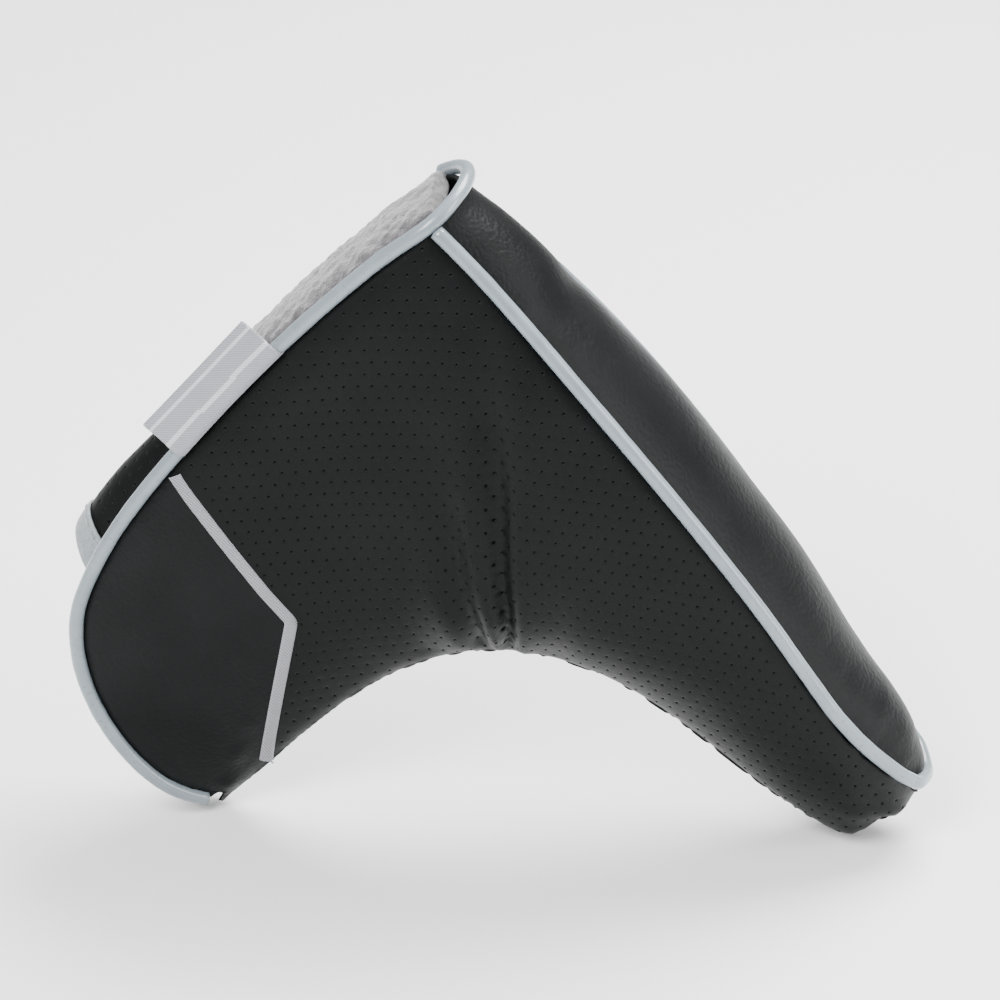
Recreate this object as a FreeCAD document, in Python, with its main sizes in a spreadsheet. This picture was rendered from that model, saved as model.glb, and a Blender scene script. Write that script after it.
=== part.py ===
"""Blade-putter head cover, as a parametric FreeCAD document (millimetres).

The cover stands as an inverted V on the two lower tips of its legs.  The right-hand leg is the pocket for the
putter blade and the left-hand leg is the neck for the shaft.  +X runs to the toe, +Z up, and the front face looks
towards -Y.  The outside is a height field: half_depth(x, z) is the distance from the middle plane to the leather.
Every ply is a sheet of even thickness laid under that field.
"""
import FreeCAD, Part

import math
import os

from FreeCAD import Placement, Rotation, Vector

# Driving dimensions, in millimetres unless the name says otherwise.
DIMENSIONS = {
    "leather_ply": 1.2,
    "foam_ply": 3.0,
    "fleece_ply": 2.5,
    "ply_gap": 0.2,
    "seam_half_depth": 1.9,
    "heel_half_depth": 13.0,
    "toe_half_depth": 18.0,
    "sole_half_depth": 22.0,
    "neck_half_depth": 12.0,
    "puff_length": 14.0,
    "toe_round": 42.0,
    "gusset_bulge": 8.0,
    "piping_radius": 1.5,
    "cord_radius": 0.8,
    "fold_gap": 0.3,
    "label_length": 31.0,
    "label_width": 11.0,
    "label_ply": 0.45,
    "label_slot": 0.1,
    "stripe_height": 0.6,
    "stripe_width": 2.7,
    "magnet_radius": 5.0,
    "magnet_height": 1.5,
    "window_margin": 2.0,
    "binding_radius": 1.2,
    "stitch_length": 2.4,
    "stitch_radius": 0.22,
}

# Outline of the cover in the X-Z plane.
TOE_TIP = (85.8, 14.6)
TOE_BOTTOM = (70.7, 0.2)
HEEL_APEX = (-13.9, 138.7)
NECK_CORNER = (-58.0, 0.6)
FLAP_CORNER = (-83.4, 51.0)
SOLE_LINE = [TOE_TIP, (77.8, 23.2), (68.2, 35.8), (56.6, 54.0), (24.8, 97.4), HEEL_APEX]
TOE_END = [TOE_BOTTOM, (78.6, 4.0), (84.2, 8.8), TOE_TIP]
CROTCH_SEAM = [TOE_BOTTOM, (60.5, 5.8), (38.4, 23.3), (14.3, 37.4), (-3.8, 39.3), (-19.0, 34.6), (-39.9, 18.6),
               NECK_CORNER]
OPENING_LINE = [FLAP_CORNER, (-77.6, 64.5), (-62.5, 86.6), (-39.0, 113.9), (-18.0, 134.0)]
FLAP_END = [(-57.1, 3.4), (-67.0, 8.2), (-73.2, 14.8), (-79.0, 24.2), (-83.4, 37.0), FLAP_CORNER]
HINGE_TOP_SHARE = 0.94
STRIPE_SHARE = 0.357

SAMPLES_LONG = 27
SAMPLES_WIDE = 15

os.makedirs("parts", exist_ok=True)
doc = FreeCAD.newDocument("PutterHeadCover")
sheet = doc.addObject("Spreadsheet::Sheet", "Dimensions")
for row, (alias, value) in enumerate(DIMENSIONS.items(), start=1):
    sheet.set(f"A{row}", alias)
    sheet.set(f"B{row}", str(value))
    sheet.setAlias(f"B{row}", alias)
doc.recompute()


def size(alias):
    """Read one driving dimension from the sheet."""
    return float(sheet.get(alias))


# --- curves and the height field ------------------------------------------------------------------------------

def flat(point):
    """A point of the X-Z outline as a vector in the middle plane."""
    return Vector(point[0], 0, point[1])


def spline_edge(points):
    """A smooth edge through the points."""
    curve = Part.BSplineCurve()
    curve.interpolate(points)
    return curve.toShape()


def walker(outline):
    """A function from 0..1 to the point that far along the outline's smooth curve."""
    edge = spline_edge([flat(point) for point in outline])
    steps = 200
    stations = edge.discretize(steps + 1)

    def at(fraction):
        place = min(max(fraction, 0.0), 1.0) * steps
        low = min(int(place), steps - 1)
        return stations[low] + (stations[low + 1] - stations[low]) * (place - low)
    return at


sole_at = walker(SOLE_LINE)
toe_at = walker(TOE_END)
crotch_at = walker(CROTCH_SEAM)
opening_at = walker(OPENING_LINE)
flap_end_at = walker(FLAP_END)
SEAM_STATIONS = [toe_at(1 - i / 10) for i in range(10)] + [crotch_at(i / 50) for i in range(51)]
SEAM_LEGS = list(zip(SEAM_STATIONS, SEAM_STATIONS[1:]))
SOLE_LENGTH = (flat(TOE_TIP) - flat(HEEL_APEX)).Length
SOLE_DIRECTION = (flat(TOE_TIP) - flat(HEEL_APEX)).normalize()
SOLE_NORMAL = Vector(-SOLE_DIRECTION.z, 0, SOLE_DIRECTION.x)
NECK_LENGTH = (flat(FLAP_CORNER) - flat(HEEL_APEX)).Length
NECK_DIRECTION = (flat(FLAP_CORNER) - flat(HEEL_APEX)).normalize()


def smooth_step(low, high, value):
    """0 below low, 1 above high, with a smooth run between."""
    place = min(max((value - low) / (high - low), 0.0), 1.0)
    return place * place * (3 - 2 * place)


def leg_distance(spot, start, finish):
    """Distance from a spot to the straight leg between two points."""
    leg = finish - start
    share = min(max((spot - start).dot(leg) / leg.dot(leg), 0.0), 1.0)
    return (spot - start - leg * share).Length


def puff(distance, x):
    """Rise from the lower seam, 0 at the seam and 1 far from it: pinched at the crotch, rounder at the toe."""
    pinched = 1 - math.exp(-distance / size("puff_length"))
    rounded = math.sqrt(1 - (1 - min(distance / size("toe_round"), 1.0)) ** 2)
    return pinched + (rounded - pinched) * smooth_step(45.0, 85.0, x)


def half_depth(point):
    """Distance from the middle plane to the outside of the leather."""
    spot = Vector(point.x, 0, point.z)
    seam_distance = min(leg_distance(spot, *leg) for leg in SEAM_LEGS)
    along_sole = min(max((spot - flat(HEEL_APEX)).dot(SOLE_DIRECTION) / SOLE_LENGTH, 0.0), 1.0)
    along_neck = (spot - flat(HEEL_APEX)).dot(NECK_DIRECTION) / NECK_LENGTH
    sole_swell = math.sin(math.pi * along_sole)
    seam_end = size("heel_half_depth") + (size("toe_half_depth") - size("heel_half_depth")) * along_sole
    sole_side = seam_end + (size("sole_half_depth") - seam_end) * sole_swell
    neck_fall = min(max(along_neck, 0.0), 1.0) ** 1.5
    neck_side = size("heel_half_depth") - (size("heel_half_depth") - size("neck_half_depth")) * neck_fall
    blade_share = smooth_step(-35.0, 15.0, spot.x)
    full = neck_side + (sole_side - neck_side) * blade_share
    seam = size("seam_half_depth")
    return seam + (full - seam) * puff(seam_distance, spot.x)


def coons(right_to_left, start_edge, end_edge, near_edge, far_edge):
    """Point of the four-sided patch: near/far edges run along, start/end edges run across."""
    along, across = right_to_left
    blend_edges = near_edge(along) * (1 - across) + far_edge(along) * across
    blend_ends = start_edge(across) * (1 - along) + end_edge(across) * along
    corners_start = near_edge(0) * (1 - across) + far_edge(0) * across
    corners_end = near_edge(1) * (1 - across) + far_edge(1) * across
    return blend_edges + blend_ends - corners_start * (1 - along) - corners_end * along


def straight(start, finish):
    """A walker along a straight line."""
    return lambda fraction: start + (finish - start) * fraction


hinge_bottom = flat(NECK_CORNER)
hinge_line = straight(hinge_bottom, flat(HEEL_APEX))
hinge_top = hinge_line(HINGE_TOP_SHARE)
stripe_foot = hinge_line(STRIPE_SHARE)
stripe_top = opening_at(STRIPE_SHARE)


def pocket_patch(along, across):
    """Pocket panel: along runs from the toe to the fold line, across from the lower seam to the sole line."""
    return coons((along, across), toe_at, hinge_line, crotch_at, sole_at)


def whole_flap(along, across):
    """Neck flap: along runs from its rounded end to the heel, across from the fold line to the opening edge."""
    return coons((along, across), flap_end_at, straight(hinge_top, opening_at(1)),
                 straight(flap_end_at(0), hinge_top), opening_at)


def flap_below_stripe(along, across):
    """The rounded end of the neck flap, up to the straight stripe."""
    return coons((along, across), flap_end_at, straight(stripe_foot, stripe_top),
                 straight(flap_end_at(0), stripe_foot), lambda f: opening_at(f * STRIPE_SHARE))


def flap_above_stripe(along, across):
    """The rest of the neck flap, from the stripe to the heel."""
    return coons((along, across), straight(stripe_foot, stripe_top), straight(hinge_top, opening_at(1)),
                 straight(stripe_foot, hinge_top), lambda f: opening_at(STRIPE_SHARE + f * (1 - STRIPE_SHARE)))


# --- sheets of even thickness ---------------------------------------------------------------------------------

def steps_between(low, high, count):
    """Evenly spaced values from low to high."""
    return [low + (high - low) * i / (count - 1) for i in range(count)]


def field_grid(patch, along, across, side):
    """Grid of points on the outside of the cover; side is -1 on the front and +1 on the back."""
    grid = []
    for t in steps_between(*along, SAMPLES_LONG):
        line = []
        for u in steps_between(*across, SAMPLES_WIDE):
            spot = patch(t, u)
            line.append(Vector(spot.x, side * half_depth(spot), spot.z))
        grid.append(line)
    return grid


def grid_normals(grid, inside):
    """Unit normals of a grid, turned to the side of the inside point."""
    rows = len(grid)
    columns = len(grid[0])
    normals = []
    for i in range(rows):
        line = []
        for j in range(columns):
            down = grid[min(i + 1, rows - 1)][j] - grid[max(i - 1, 0)][j]
            over = grid[i][min(j + 1, columns - 1)] - grid[i][max(j - 1, 0)]
            line.append(down.cross(over).normalize())
        normals.append(line)
    middle = grid[rows // 2][columns // 2]
    if normals[rows // 2][columns // 2].dot(inside - middle) < 0:
        normals = [[-normal for normal in line] for line in normals]
    return normals


def offset_grid(grid, normals, depth):
    """The grid moved inwards by depth."""
    return [[point + normal * depth for point, normal in zip(points, line)] for points, line in zip(grid, normals)]


def sheet_solid(grid, inside, near, far):
    """Closed solid between two inward offsets of the grid."""
    normals = grid_normals(grid, inside)
    surfaces = []
    for depth in (near, far):
        surface = Part.BSplineSurface()
        surface.interpolate(offset_grid(grid, normals, depth))
        surfaces.append(surface)
    u_low, u_high, v_low, v_high = surfaces[0].bounds()
    faces = [surface.toShape() for surface in surfaces]
    for iso, low, high in (("uIso", u_low, u_high), ("vIso", v_low, v_high)):
        for value in (low, high):
            rims = [Part.Wire([getattr(surface, iso)(value).toShape()]) for surface in surfaces]
            faces += Part.makeLoft(rims, False, True).Faces
    shell = Part.makeShell(faces)
    shell.sewShape()
    solid = Part.Solid(Part.Shell(shell.Faces))
    if solid.Volume < 0:
        solid.reverse()
    return solid


def tube_solid(path, across, outer, inner):
    """Round tube, or a rod where inner is 0, along a smooth path that keeps square to the direction across."""
    edge = spline_edge(path)
    heading = edge.tangentAt(edge.FirstParameter)

    def sweep(radius):
        maker = Part.BRepOffsetAPI.MakePipeShell(Part.Wire([edge]))
        maker.setBiNormalMode(across)
        maker.add(Part.Wire([Part.Circle(path[0], heading, radius).toShape()]))
        maker.build()
        maker.makeSolid()
        return maker.shape()
    rod = sweep(outer)
    return rod.cut(sweep(inner)) if inner else rod


def add_feature(label, shape):
    """A document object that holds a finished shape."""
    feature = doc.addObject("Part::Feature", label)
    feature.Label = label
    feature.Shape = shape
    return feature


# --- depth of each ply under the outside of the leather -------------------------------------------------------

LEATHER = (0.0, size("leather_ply"))
FOAM = (LEATHER[1] + size("ply_gap"), LEATHER[1] + size("ply_gap") + size("foam_ply"))
FLEECE = (FOAM[1] + size("ply_gap"), FOAM[1] + size("ply_gap") + size("fleece_ply"))
RAISED = (-size("stripe_height") - 0.15, -0.15)
GUSSET_INSET = size("leather_ply") + 2 * size("ply_gap")
CAVITY_POINT = Vector(0, 0, 80)


# --- pocket body ----------------------------------------------------------------------------------------------

PLY_REACH = {
    "panel": (LEATHER, (0.0, 0.998), (0.0, 1.0)),
    "padding": (FOAM, (0.16, 0.99), (0.10, 0.94)),
    "lining": (FLEECE, (0.20, 0.985), (0.21, 0.88)),
}


def build_pocket_side(name, side):
    """Leather, foam and fleece of one side of the blade pocket."""
    for ply, (depths, along, across) in PLY_REACH.items():
        grid = field_grid(pocket_patch, along, across, side)
        add_feature(f"{name}_{ply}", sheet_solid(grid, CAVITY_POINT, *depths))


def gusset_bulge_at(along):
    """How far the sole gusset stands proud of the sole line; along is 0 at the toe and 1 at the heel."""
    toe_rise = math.sqrt(1 - (1 - min(along / 0.14, 1.0)) ** 2)
    heel_fall = 0.1 * smooth_step(0.9, 1.0, along)
    return size("gusset_bulge") * toe_rise * (1 - heel_fall)


def gusset_grid(along, edge_inset):
    """Outside of the sole gusset, from one sole seam to the other."""
    grid = []
    for t in steps_between(*along, SAMPLES_LONG):
        seam = sole_at(t)
        full_reach = half_depth(seam) - GUSSET_INSET
        line = []
        for across in steps_between(-1.0, 1.0, SAMPLES_WIDE):
            depth = (half_depth(seam) - edge_inset) * across
            crown = gusset_bulge_at(t) * (1 - (depth / full_reach) ** 2)
            line.append(seam + SOLE_NORMAL * crown + Vector(0, depth, 0))
        grid.append(line)
    return grid


def build_gusset():
    """Sole gusset: a leaf of leather with its own foam and fleece."""
    plies = (
        ("sole_gusset", (0.045, 0.98), GUSSET_INSET, LEATHER),
        ("sole_padding", (0.25, 0.975), FOAM[1] + GUSSET_INSET, FOAM),
        ("sole_lining", (0.29, 0.97), FLEECE[1] + GUSSET_INSET, FLEECE),
    )
    for label, along, inset, depths in plies:
        grid = gusset_grid(along, inset)
        add_feature(label, sheet_solid(grid, CAVITY_POINT, *depths))


def sole_piping_path():
    """From the front of the heel along the front seam, round the toe and back along the back seam."""
    lift = size("piping_radius") + 0.2
    front = []
    for t in steps_between(0.985, 0.1, 16) + [0.06, 0.03, 0.01]:
        seam = sole_at(t)
        front.append(seam + SOLE_NORMAL * lift + Vector(0, 0.6 - half_depth(seam), 0))
    tip = sole_at(0.0) + SOLE_NORMAL * lift + SOLE_DIRECTION
    back = [Vector(point.x, -point.y, point.z) for point in reversed(front)]
    return front + [tip] + back


def heel_piping_path():
    """Over the heel end of the gusset, from the front opening edge to the back one."""
    crown = gusset_bulge_at(1.0)
    side = size("heel_half_depth") + 0.4
    corner = flat(HEEL_APEX) + Vector(0.4, -side, 1.6)
    half = [opening_at(1.0) + Vector(-0.7, 0.5 - half_depth(opening_at(1.0)), 1.6), corner]
    for share in (0.8, 0.5, 0.2):
        rise = crown * (1 - share * share) + 1.4
        half.append(flat(HEEL_APEX) + SOLE_NORMAL * rise - Vector(0, side * share, 0))
    return half + [Vector(point.x, -point.y, point.z) for point in reversed(half)]


def add_piping(name, path, across):
    """Vinyl piping with the cord inside it."""
    wall = size("cord_radius") + 0.05
    add_feature(name, tube_solid(path, across, size("piping_radius"), wall))
    add_feature(f"{name}_cord", tube_solid(path, across, size("cord_radius"), 0))


# --- front flap body ------------------------------------------------------------------------------------------

def build_front_flap():
    """Plies of the front flap: perforated leather above, plain patch at the rounded end, stripe over the join."""
    fold = size("fold_gap") / 40
    seam = size("fold_gap") / 80
    plies = (
        ("front_flap_panel", flap_above_stripe, LEATHER, (seam, 1.0), (fold, 1.0)),
        ("flap_patch", flap_below_stripe, LEATHER, (0.0, 1.0 - seam), (fold, 1.0)),
        ("flap_lining", whole_flap, FLEECE, (0.07, 0.985), (0.04, 0.93)),
    )
    for label, patch, depths, along, across in plies:
        grid = field_grid(patch, along, across, -1)
        add_feature(label, sheet_solid(grid, CAVITY_POINT, *depths))
    band = field_grid(stripe_band, (0.01, 0.97), (0.0, 1.0), -1)
    add_feature("flap_stripe", sheet_solid(band, CAVITY_POINT, *RAISED))
    grid = field_grid(whole_flap, (0.06, 0.985), (0.03, 0.94), -1)
    return sheet_solid(grid, CAVITY_POINT, *FOAM)


def stripe_band(along, across):
    """Upper arm of the stripe, from the fold line up to the opening edge."""
    run = (stripe_top - stripe_foot).normalize()
    sideways = Vector(-run.z, 0, run.x) * size("stripe_width")
    return stripe_foot + (stripe_top - stripe_foot) * along + sideways * (across - 0.5)


def neck_stripe_point(along, across):
    """Lower arm of the stripe, from the bend on the fold line down to the neck seam."""
    top = stripe_foot + Vector(0.8, 0, -1.0)
    bottom = crotch_at(0.925) + Vector(0.4, 0, 0.8)
    return top + (bottom - top) * along + Vector(size("stripe_width") * across, 0, 0)


def flap_piping_path():
    """Round the flap's free edge, from the neck corner to just short of the heel piping, which it swings past."""
    lift = size("piping_radius") + 0.2
    edge = [flap_end_at(f) for f in steps_between(0.0, 0.94, 10)]
    edge += [opening_at(f) for f in steps_between(0.04, 0.985, 16)]
    path = []
    for i, spot in enumerate(edge):
        heading = edge[min(i + 1, len(edge) - 1)] - edge[max(i - 1, 0)]
        outward = Vector(-heading.z, 0, heading.x).normalize()
        path.append(Vector(spot.x, 0.5 - half_depth(spot), spot.z) + outward * lift)
    return path


# --- back flap body -------------------------------------------------------------------------------------------

WRAP_CLEARANCE = 1.0
WRAP_COLUMNS = 29
WRAP_FOAM = (LEATHER[1] + 0.4, LEATHER[1] + 2.2)
WRAP_FLEECE = (WRAP_FOAM[1] + 0.4, WRAP_FOAM[1] + 1.6)
WRAP_INSIDE = Vector(-50, 3, 60)
BACK_EDGE = [(-86.8, 61.2), (-74.8, 79.0), (-58.2, 95.6), (-41.0, 113.0), (-24.0, 132.0)]
back_hinge = straight(hinge_line(0.03) + Vector(-0.6, 0, 0), hinge_top + Vector(-0.6, 0, 0))
back_edge_curve = walker(BACK_EDGE)


def back_edge(along):
    """Outermost line of the back flap, carried straight on past its lower end."""
    low_end = back_edge_curve(0.0)
    return back_edge_curve(along) + (back_edge_curve(0.02) - low_end) * (min(along, 0.0) / 0.02)


def back_flap_profile(along):
    """Outside of the back flap across the neck: the back, the turn over the opening side and the tucked tail."""
    start = back_hinge(along)
    edge = back_edge(along)
    width = (edge - start).Length
    outward = (edge - start).normalize()
    under_front = FLEECE[1] + WRAP_CLEARANCE
    full_turn = half_depth(edge) - under_front / 2
    reach = min(full_turn, 0.42 * width)
    turn = edge - outward * reach
    depth = half_depth(turn)
    drop = (depth - under_front / 2) * reach / full_turn
    points = []
    for fraction in steps_between(0.0, 1.0, 11)[:-1]:
        spot = start + (turn - start) * fraction
        points.append(Vector(spot.x, half_depth(spot), spot.z))
    middle = Vector(turn.x, depth - drop, turn.z)
    for angle in steps_between(90.0, -90.0, 17):
        swing = math.radians(angle)
        points.append(middle + outward * reach * math.cos(swing) + Vector(0, drop * math.sin(swing), 0))
    tail = min(11.0, 0.3 * width)
    for share in (0.25, 0.5, 0.75, 1.0):
        spot = turn - outward * tail * share
        points.append(Vector(spot.x, depth - 2 * drop + depth - half_depth(spot), spot.z))
    return points


def evenly(points, low, high, count):
    """Points spaced evenly along a polyline, from the fraction low to the fraction high of its length."""
    runs = [0.0]
    for start, finish in zip(points, points[1:]):
        runs.append(runs[-1] + (finish - start).Length)
    even = []
    for fraction in steps_between(low, high, count):
        place = fraction * runs[-1]
        leg = max(i for i in range(len(points) - 1) if runs[i] <= place + 1e-9)
        share = (place - runs[leg]) / (runs[leg + 1] - runs[leg])
        even.append(points[leg] + (points[leg + 1] - points[leg]) * share)
    return even


def back_flap_grid(along, across):
    """Rows of profiles along the neck; across is the range kept of each profile's length."""
    return [evenly(back_flap_profile(t), *across, WRAP_COLUMNS) for t in steps_between(*along, SAMPLES_LONG)]


def build_back_flap():
    """Plies of the back flap; foam and fleece stop where the wrap grows too tight for them."""
    grid = back_flap_grid((0.0, 0.96), (0.0, 1.0))
    add_feature("back_flap_panel", sheet_solid(grid, WRAP_INSIDE, *LEATHER))
    grid = back_flap_grid((0.06, 0.66), (0.06, 0.97))
    add_feature("back_flap_lining", sheet_solid(grid, WRAP_INSIDE, *WRAP_FLEECE))
    grid = back_flap_grid((0.04, 0.68), (0.04, 0.98))
    return sheet_solid(grid, WRAP_INSIDE, *WRAP_FOAM)


def binding_path():
    """Down the raw end of the back flap, round the turn."""
    rows = [evenly(back_flap_profile(along), 0.08, 0.97, 14) for along in (-0.03, -0.02, -0.01)]
    normals = grid_normals(rows, WRAP_INSIDE)
    return offset_grid(rows, normals, size("leather_ply") / 2)[1]


# --- pieces made from solids of revolution, boxes and sketches ------------------------------------------------

def bind(feature, **formulas):
    """Bind properties of a feature to the sheet."""
    for name, formula in formulas.items():
        feature.setExpression(name, formula)


def disc_set(label, spots, radius_formula, height_formula):
    """Equal discs, each at a point with its axis along a normal, as one group of separate solids."""
    discs = []
    for number, (centre, normal) in enumerate(spots, start=1):
        disc = doc.addObject("Part::Cylinder", f"{label}_disc_{number}")
        bind(disc, Radius=radius_formula, Height=height_formula)
        disc.Placement = Placement(centre, Rotation(Vector(0, 0, 1), normal))
        discs.append(disc)
    group = doc.addObject("Part::Compound", label)
    group.Label = label
    group.Links = discs
    return group


def grid_spot(grid, inside, row_number, column, depth):
    """A point under the grid and the inward normal there."""
    normal = grid_normals(grid, inside)[row_number][column]
    return grid[row_number][column] + normal * depth, normal


def cut_windows(label, slab, spots):
    """Foam slab with a round window right through it for each magnet."""
    base = add_feature(f"{label}_slab", slab)
    proud = size("window_margin")
    raised = [(centre - normal * proud, normal) for centre, normal in spots]
    windows = disc_set(f"{label}_windows", raised, "Dimensions.magnet_radius + Dimensions.ply_gap",
                       "Dimensions.magnet_height + 2 * Dimensions.window_margin")
    result = doc.addObject("Part::Cut", label)
    result.Label = label
    result.Base = base
    result.Tool = windows
    return result


def build_magnets(front_slab, back_slab):
    """Two pairs of disc magnets, one of each pair in either flap's foam."""
    front_grid = field_grid(whole_flap, (0.0, 1.0), (0.0, 1.0), -1)
    back_grid = back_flap_grid((0.0, 0.96), (0.0, 1.0))
    front_spots = [grid_spot(front_grid, CAVITY_POINT, i, 11, FOAM[0] + 0.6) for i in (9, 15)]
    back_spots = [grid_spot(back_grid, WRAP_INSIDE, i, WRAP_COLUMNS - 4, WRAP_FOAM[0] + 0.45) for i in (8, 14)]
    for label, spots in (("flap_magnets", front_spots), ("back_flap_magnets", back_spots)):
        disc_set(label, spots, "Dimensions.magnet_radius", "Dimensions.magnet_height")
    cut_windows("flap_padding", front_slab, front_spots)
    cut_windows("back_flap_padding", back_slab, back_spots)


def origin_plane(body, role):
    """The body's own origin plane."""
    for feature in body.Origin.OriginFeatures:
        if feature.Role == role:
            return feature
    raise ValueError(role)


def build_label():
    """Woven label: a folded ribbon with both ends in the seam behind the piping and its fold as the free edge."""
    body = doc.addObject("PartDesign::Body", "woven_label")
    body.Label = "woven_label"
    sketch = body.newObject("Sketcher::SketchObject", "LabelFold")
    sketch.AttachmentSupport = [(origin_plane(body, "XY_Plane"), "")]
    sketch.MapMode = "FlatFace"
    wide = size("label_width")
    ply = size("label_ply")
    slot = size("label_slot")
    outer = ply + slot / 2
    inner = slot / 2
    corners = [
        (Vector(0, -outer, 0), Vector(wide - outer, -outer, 0)),
        (Vector(wide - outer, outer, 0), Vector(0, outer, 0)),
        (Vector(0, outer, 0), Vector(0, inner, 0)),
        (Vector(0, inner, 0), Vector(wide - outer, inner, 0)),
        (Vector(wide - outer, -inner, 0), Vector(0, -inner, 0)),
        (Vector(0, -inner, 0), Vector(0, -outer, 0)),
    ]
    for start, finish in corners:
        sketch.addGeometry(Part.LineSegment(start, finish), False)
    fold_centre = Vector(wide - outer, 0, 0)
    for radius in (outer, inner):
        ring = Part.Circle(fold_centre, Vector(0, 0, 1), radius)
        sketch.addGeometry(Part.ArcOfCircle(ring, -math.pi / 2, math.pi / 2), False)
    pad = body.newObject("PartDesign::Pad", "LabelPad")
    pad.Profile = sketch
    bind(pad, Length="Dimensions.label_length")
    doc.recompute()
    ends = []
    for share in (0.40, 0.69):
        spot = opening_at(share)
        ends.append(Vector(spot.x, -half_depth(spot) - size("piping_radius") - outer - 0.1, spot.z))
    run = (ends[1] - ends[0]).normalize()
    outward = Vector(-run.z, 0, run.x).normalize()
    body.Placement = Placement(ends[0] - outward * 0.4, Rotation(outward, Vector(0, -1, 0), run, "ZXY"))
    return body


def build_binding():
    """Grey binding rod along the raw end of the back flap, and the row of stitches through it."""
    path = binding_path()
    across = (back_edge(0) - back_hinge(0)).cross(Vector(0, 1, 0)).normalize()
    add_feature("back_flap_binding", tube_solid(path, across, size("binding_radius"), 0))
    stitches = []
    edge = spline_edge(path)
    for number, place in enumerate(edge.discretize(11)[1:-1], start=1):
        heading = edge.tangentAt(edge.Curve.parameter(place))
        stitch = doc.addObject("Part::Cylinder", f"stitch_{number}")
        bind(stitch, Radius="Dimensions.stitch_radius", Height="Dimensions.stitch_length")
        outward = (place - Vector(-60, 3, 40)).normalize()
        outward = (outward - heading * outward.dot(heading)).normalize()
        centre = place + outward * 1.6 - heading * size("stitch_length") / 2
        stitch.Placement = Placement(centre, Rotation(Vector(0, 0, 1), heading))
        stitches.append(stitch)
    group = doc.addObject("Part::Compound", "binding_stitches")
    group.Label = "binding_stitches"
    group.Links = stitches


# --- assembly -------------------------------------------------------------------------------------------------

build_pocket_side("front", -1)
build_pocket_side("back", 1)
build_gusset()
add_piping("sole_piping", sole_piping_path(), SOLE_NORMAL)
add_piping("heel_piping", heel_piping_path(), SOLE_DIRECTION)
neck_grid = field_grid(neck_stripe_point, (0.0, 1.0), (0.0, 1.0), -1)
add_feature("neck_stripe", sheet_solid(neck_grid, CAVITY_POINT, *RAISED))
flap_slab = build_front_flap()
add_piping("flap_piping", flap_piping_path(), Vector(0, 1, 0))
back_slab = build_back_flap()
build_magnets(flap_slab, back_slab)
build_label()
build_binding()
doc.recompute()

NODES = [
    "front_panel", "front_padding", "front_lining", "back_panel", "back_padding", "back_lining",
    "sole_gusset", "sole_padding", "sole_lining", "sole_piping", "sole_piping_cord",
    "heel_piping", "heel_piping_cord", "neck_stripe",
    "front_flap_panel", "flap_patch", "flap_stripe", "flap_padding", "flap_lining", "flap_magnets",
    "flap_piping", "flap_piping_cord",
    "woven_label",
    "back_flap_panel", "back_flap_padding", "back_flap_lining", "back_flap_magnets",
    "back_flap_binding", "binding_stitches",
]

failed = [item.Name for item in doc.Objects if "Invalid" in item.State or "Error" in item.State]
if failed:
    raise RuntimeError(f"failed objects: {failed}")

pieces = {node: doc.getObjectsByLabel(node)[0] for node in NODES}
for node, piece in pieces.items():
    if piece.Shape.isNull() or not piece.Shape.isValid():
        raise RuntimeError(f"bad shape: {node}")

# Put the origin at the bottom centre of the whole cover.
whole = FreeCAD.BoundBox()
for piece in pieces.values():
    whole.add(piece.Shape.optimalBoundingBox(True, False))
shift = Vector(-whole.Center.x, -whole.Center.y, -whole.ZMin)
for node, piece in pieces.items():
    piece.Placement = Placement(shift, Rotation()).multiply(piece.Placement)
doc.recompute()
for node, piece in pieces.items():
    piece.Shape.exportStep(f"parts/{node}.step")
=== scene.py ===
"""Looks of the putter head cover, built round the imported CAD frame.

Metres in Blender, millimetres in this script: +X to the toe, +Z up, the front face towards -Y.
Every leather, foam and fleece piece takes its outline and its place from the CAD node it stands for.
"""
import math

import bpy
import numpy as np
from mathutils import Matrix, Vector, noise
from mathutils.bvhtree import BVHTree
from mathutils.geometry import delaunay_2d_cdt


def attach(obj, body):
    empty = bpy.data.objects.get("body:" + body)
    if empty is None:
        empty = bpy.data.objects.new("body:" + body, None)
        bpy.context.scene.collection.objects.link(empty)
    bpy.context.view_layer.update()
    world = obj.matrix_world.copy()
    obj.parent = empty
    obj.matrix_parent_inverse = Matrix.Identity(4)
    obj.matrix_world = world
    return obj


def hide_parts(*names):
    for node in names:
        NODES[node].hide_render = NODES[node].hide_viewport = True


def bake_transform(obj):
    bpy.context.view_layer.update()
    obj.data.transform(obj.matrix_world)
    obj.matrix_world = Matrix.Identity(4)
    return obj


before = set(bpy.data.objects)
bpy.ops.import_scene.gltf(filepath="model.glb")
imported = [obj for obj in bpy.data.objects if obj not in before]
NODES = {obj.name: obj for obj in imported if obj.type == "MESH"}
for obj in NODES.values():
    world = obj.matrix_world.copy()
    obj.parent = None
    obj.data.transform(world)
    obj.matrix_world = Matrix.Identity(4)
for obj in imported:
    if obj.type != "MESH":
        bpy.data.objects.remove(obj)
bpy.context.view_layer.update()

MM = 0.001

LEATHER_PLY = 1.2
PIPING_RADIUS, CORD_RADIUS = 1.5, 0.75
PIPING_LIFT = PIPING_RADIUS - 0.3
HEEL_CROWN = 8.2
FRONT, BACK = -1, 1


# --- reading the CAD frame ------------------------------------------------------------------------

def mesh_points(mesh):
    """Points of a mesh in millimetres."""
    points = np.empty(len(mesh.vertices) * 3)
    mesh.vertices.foreach_get("co", points)
    return points.reshape(-1, 3) / MM


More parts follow.
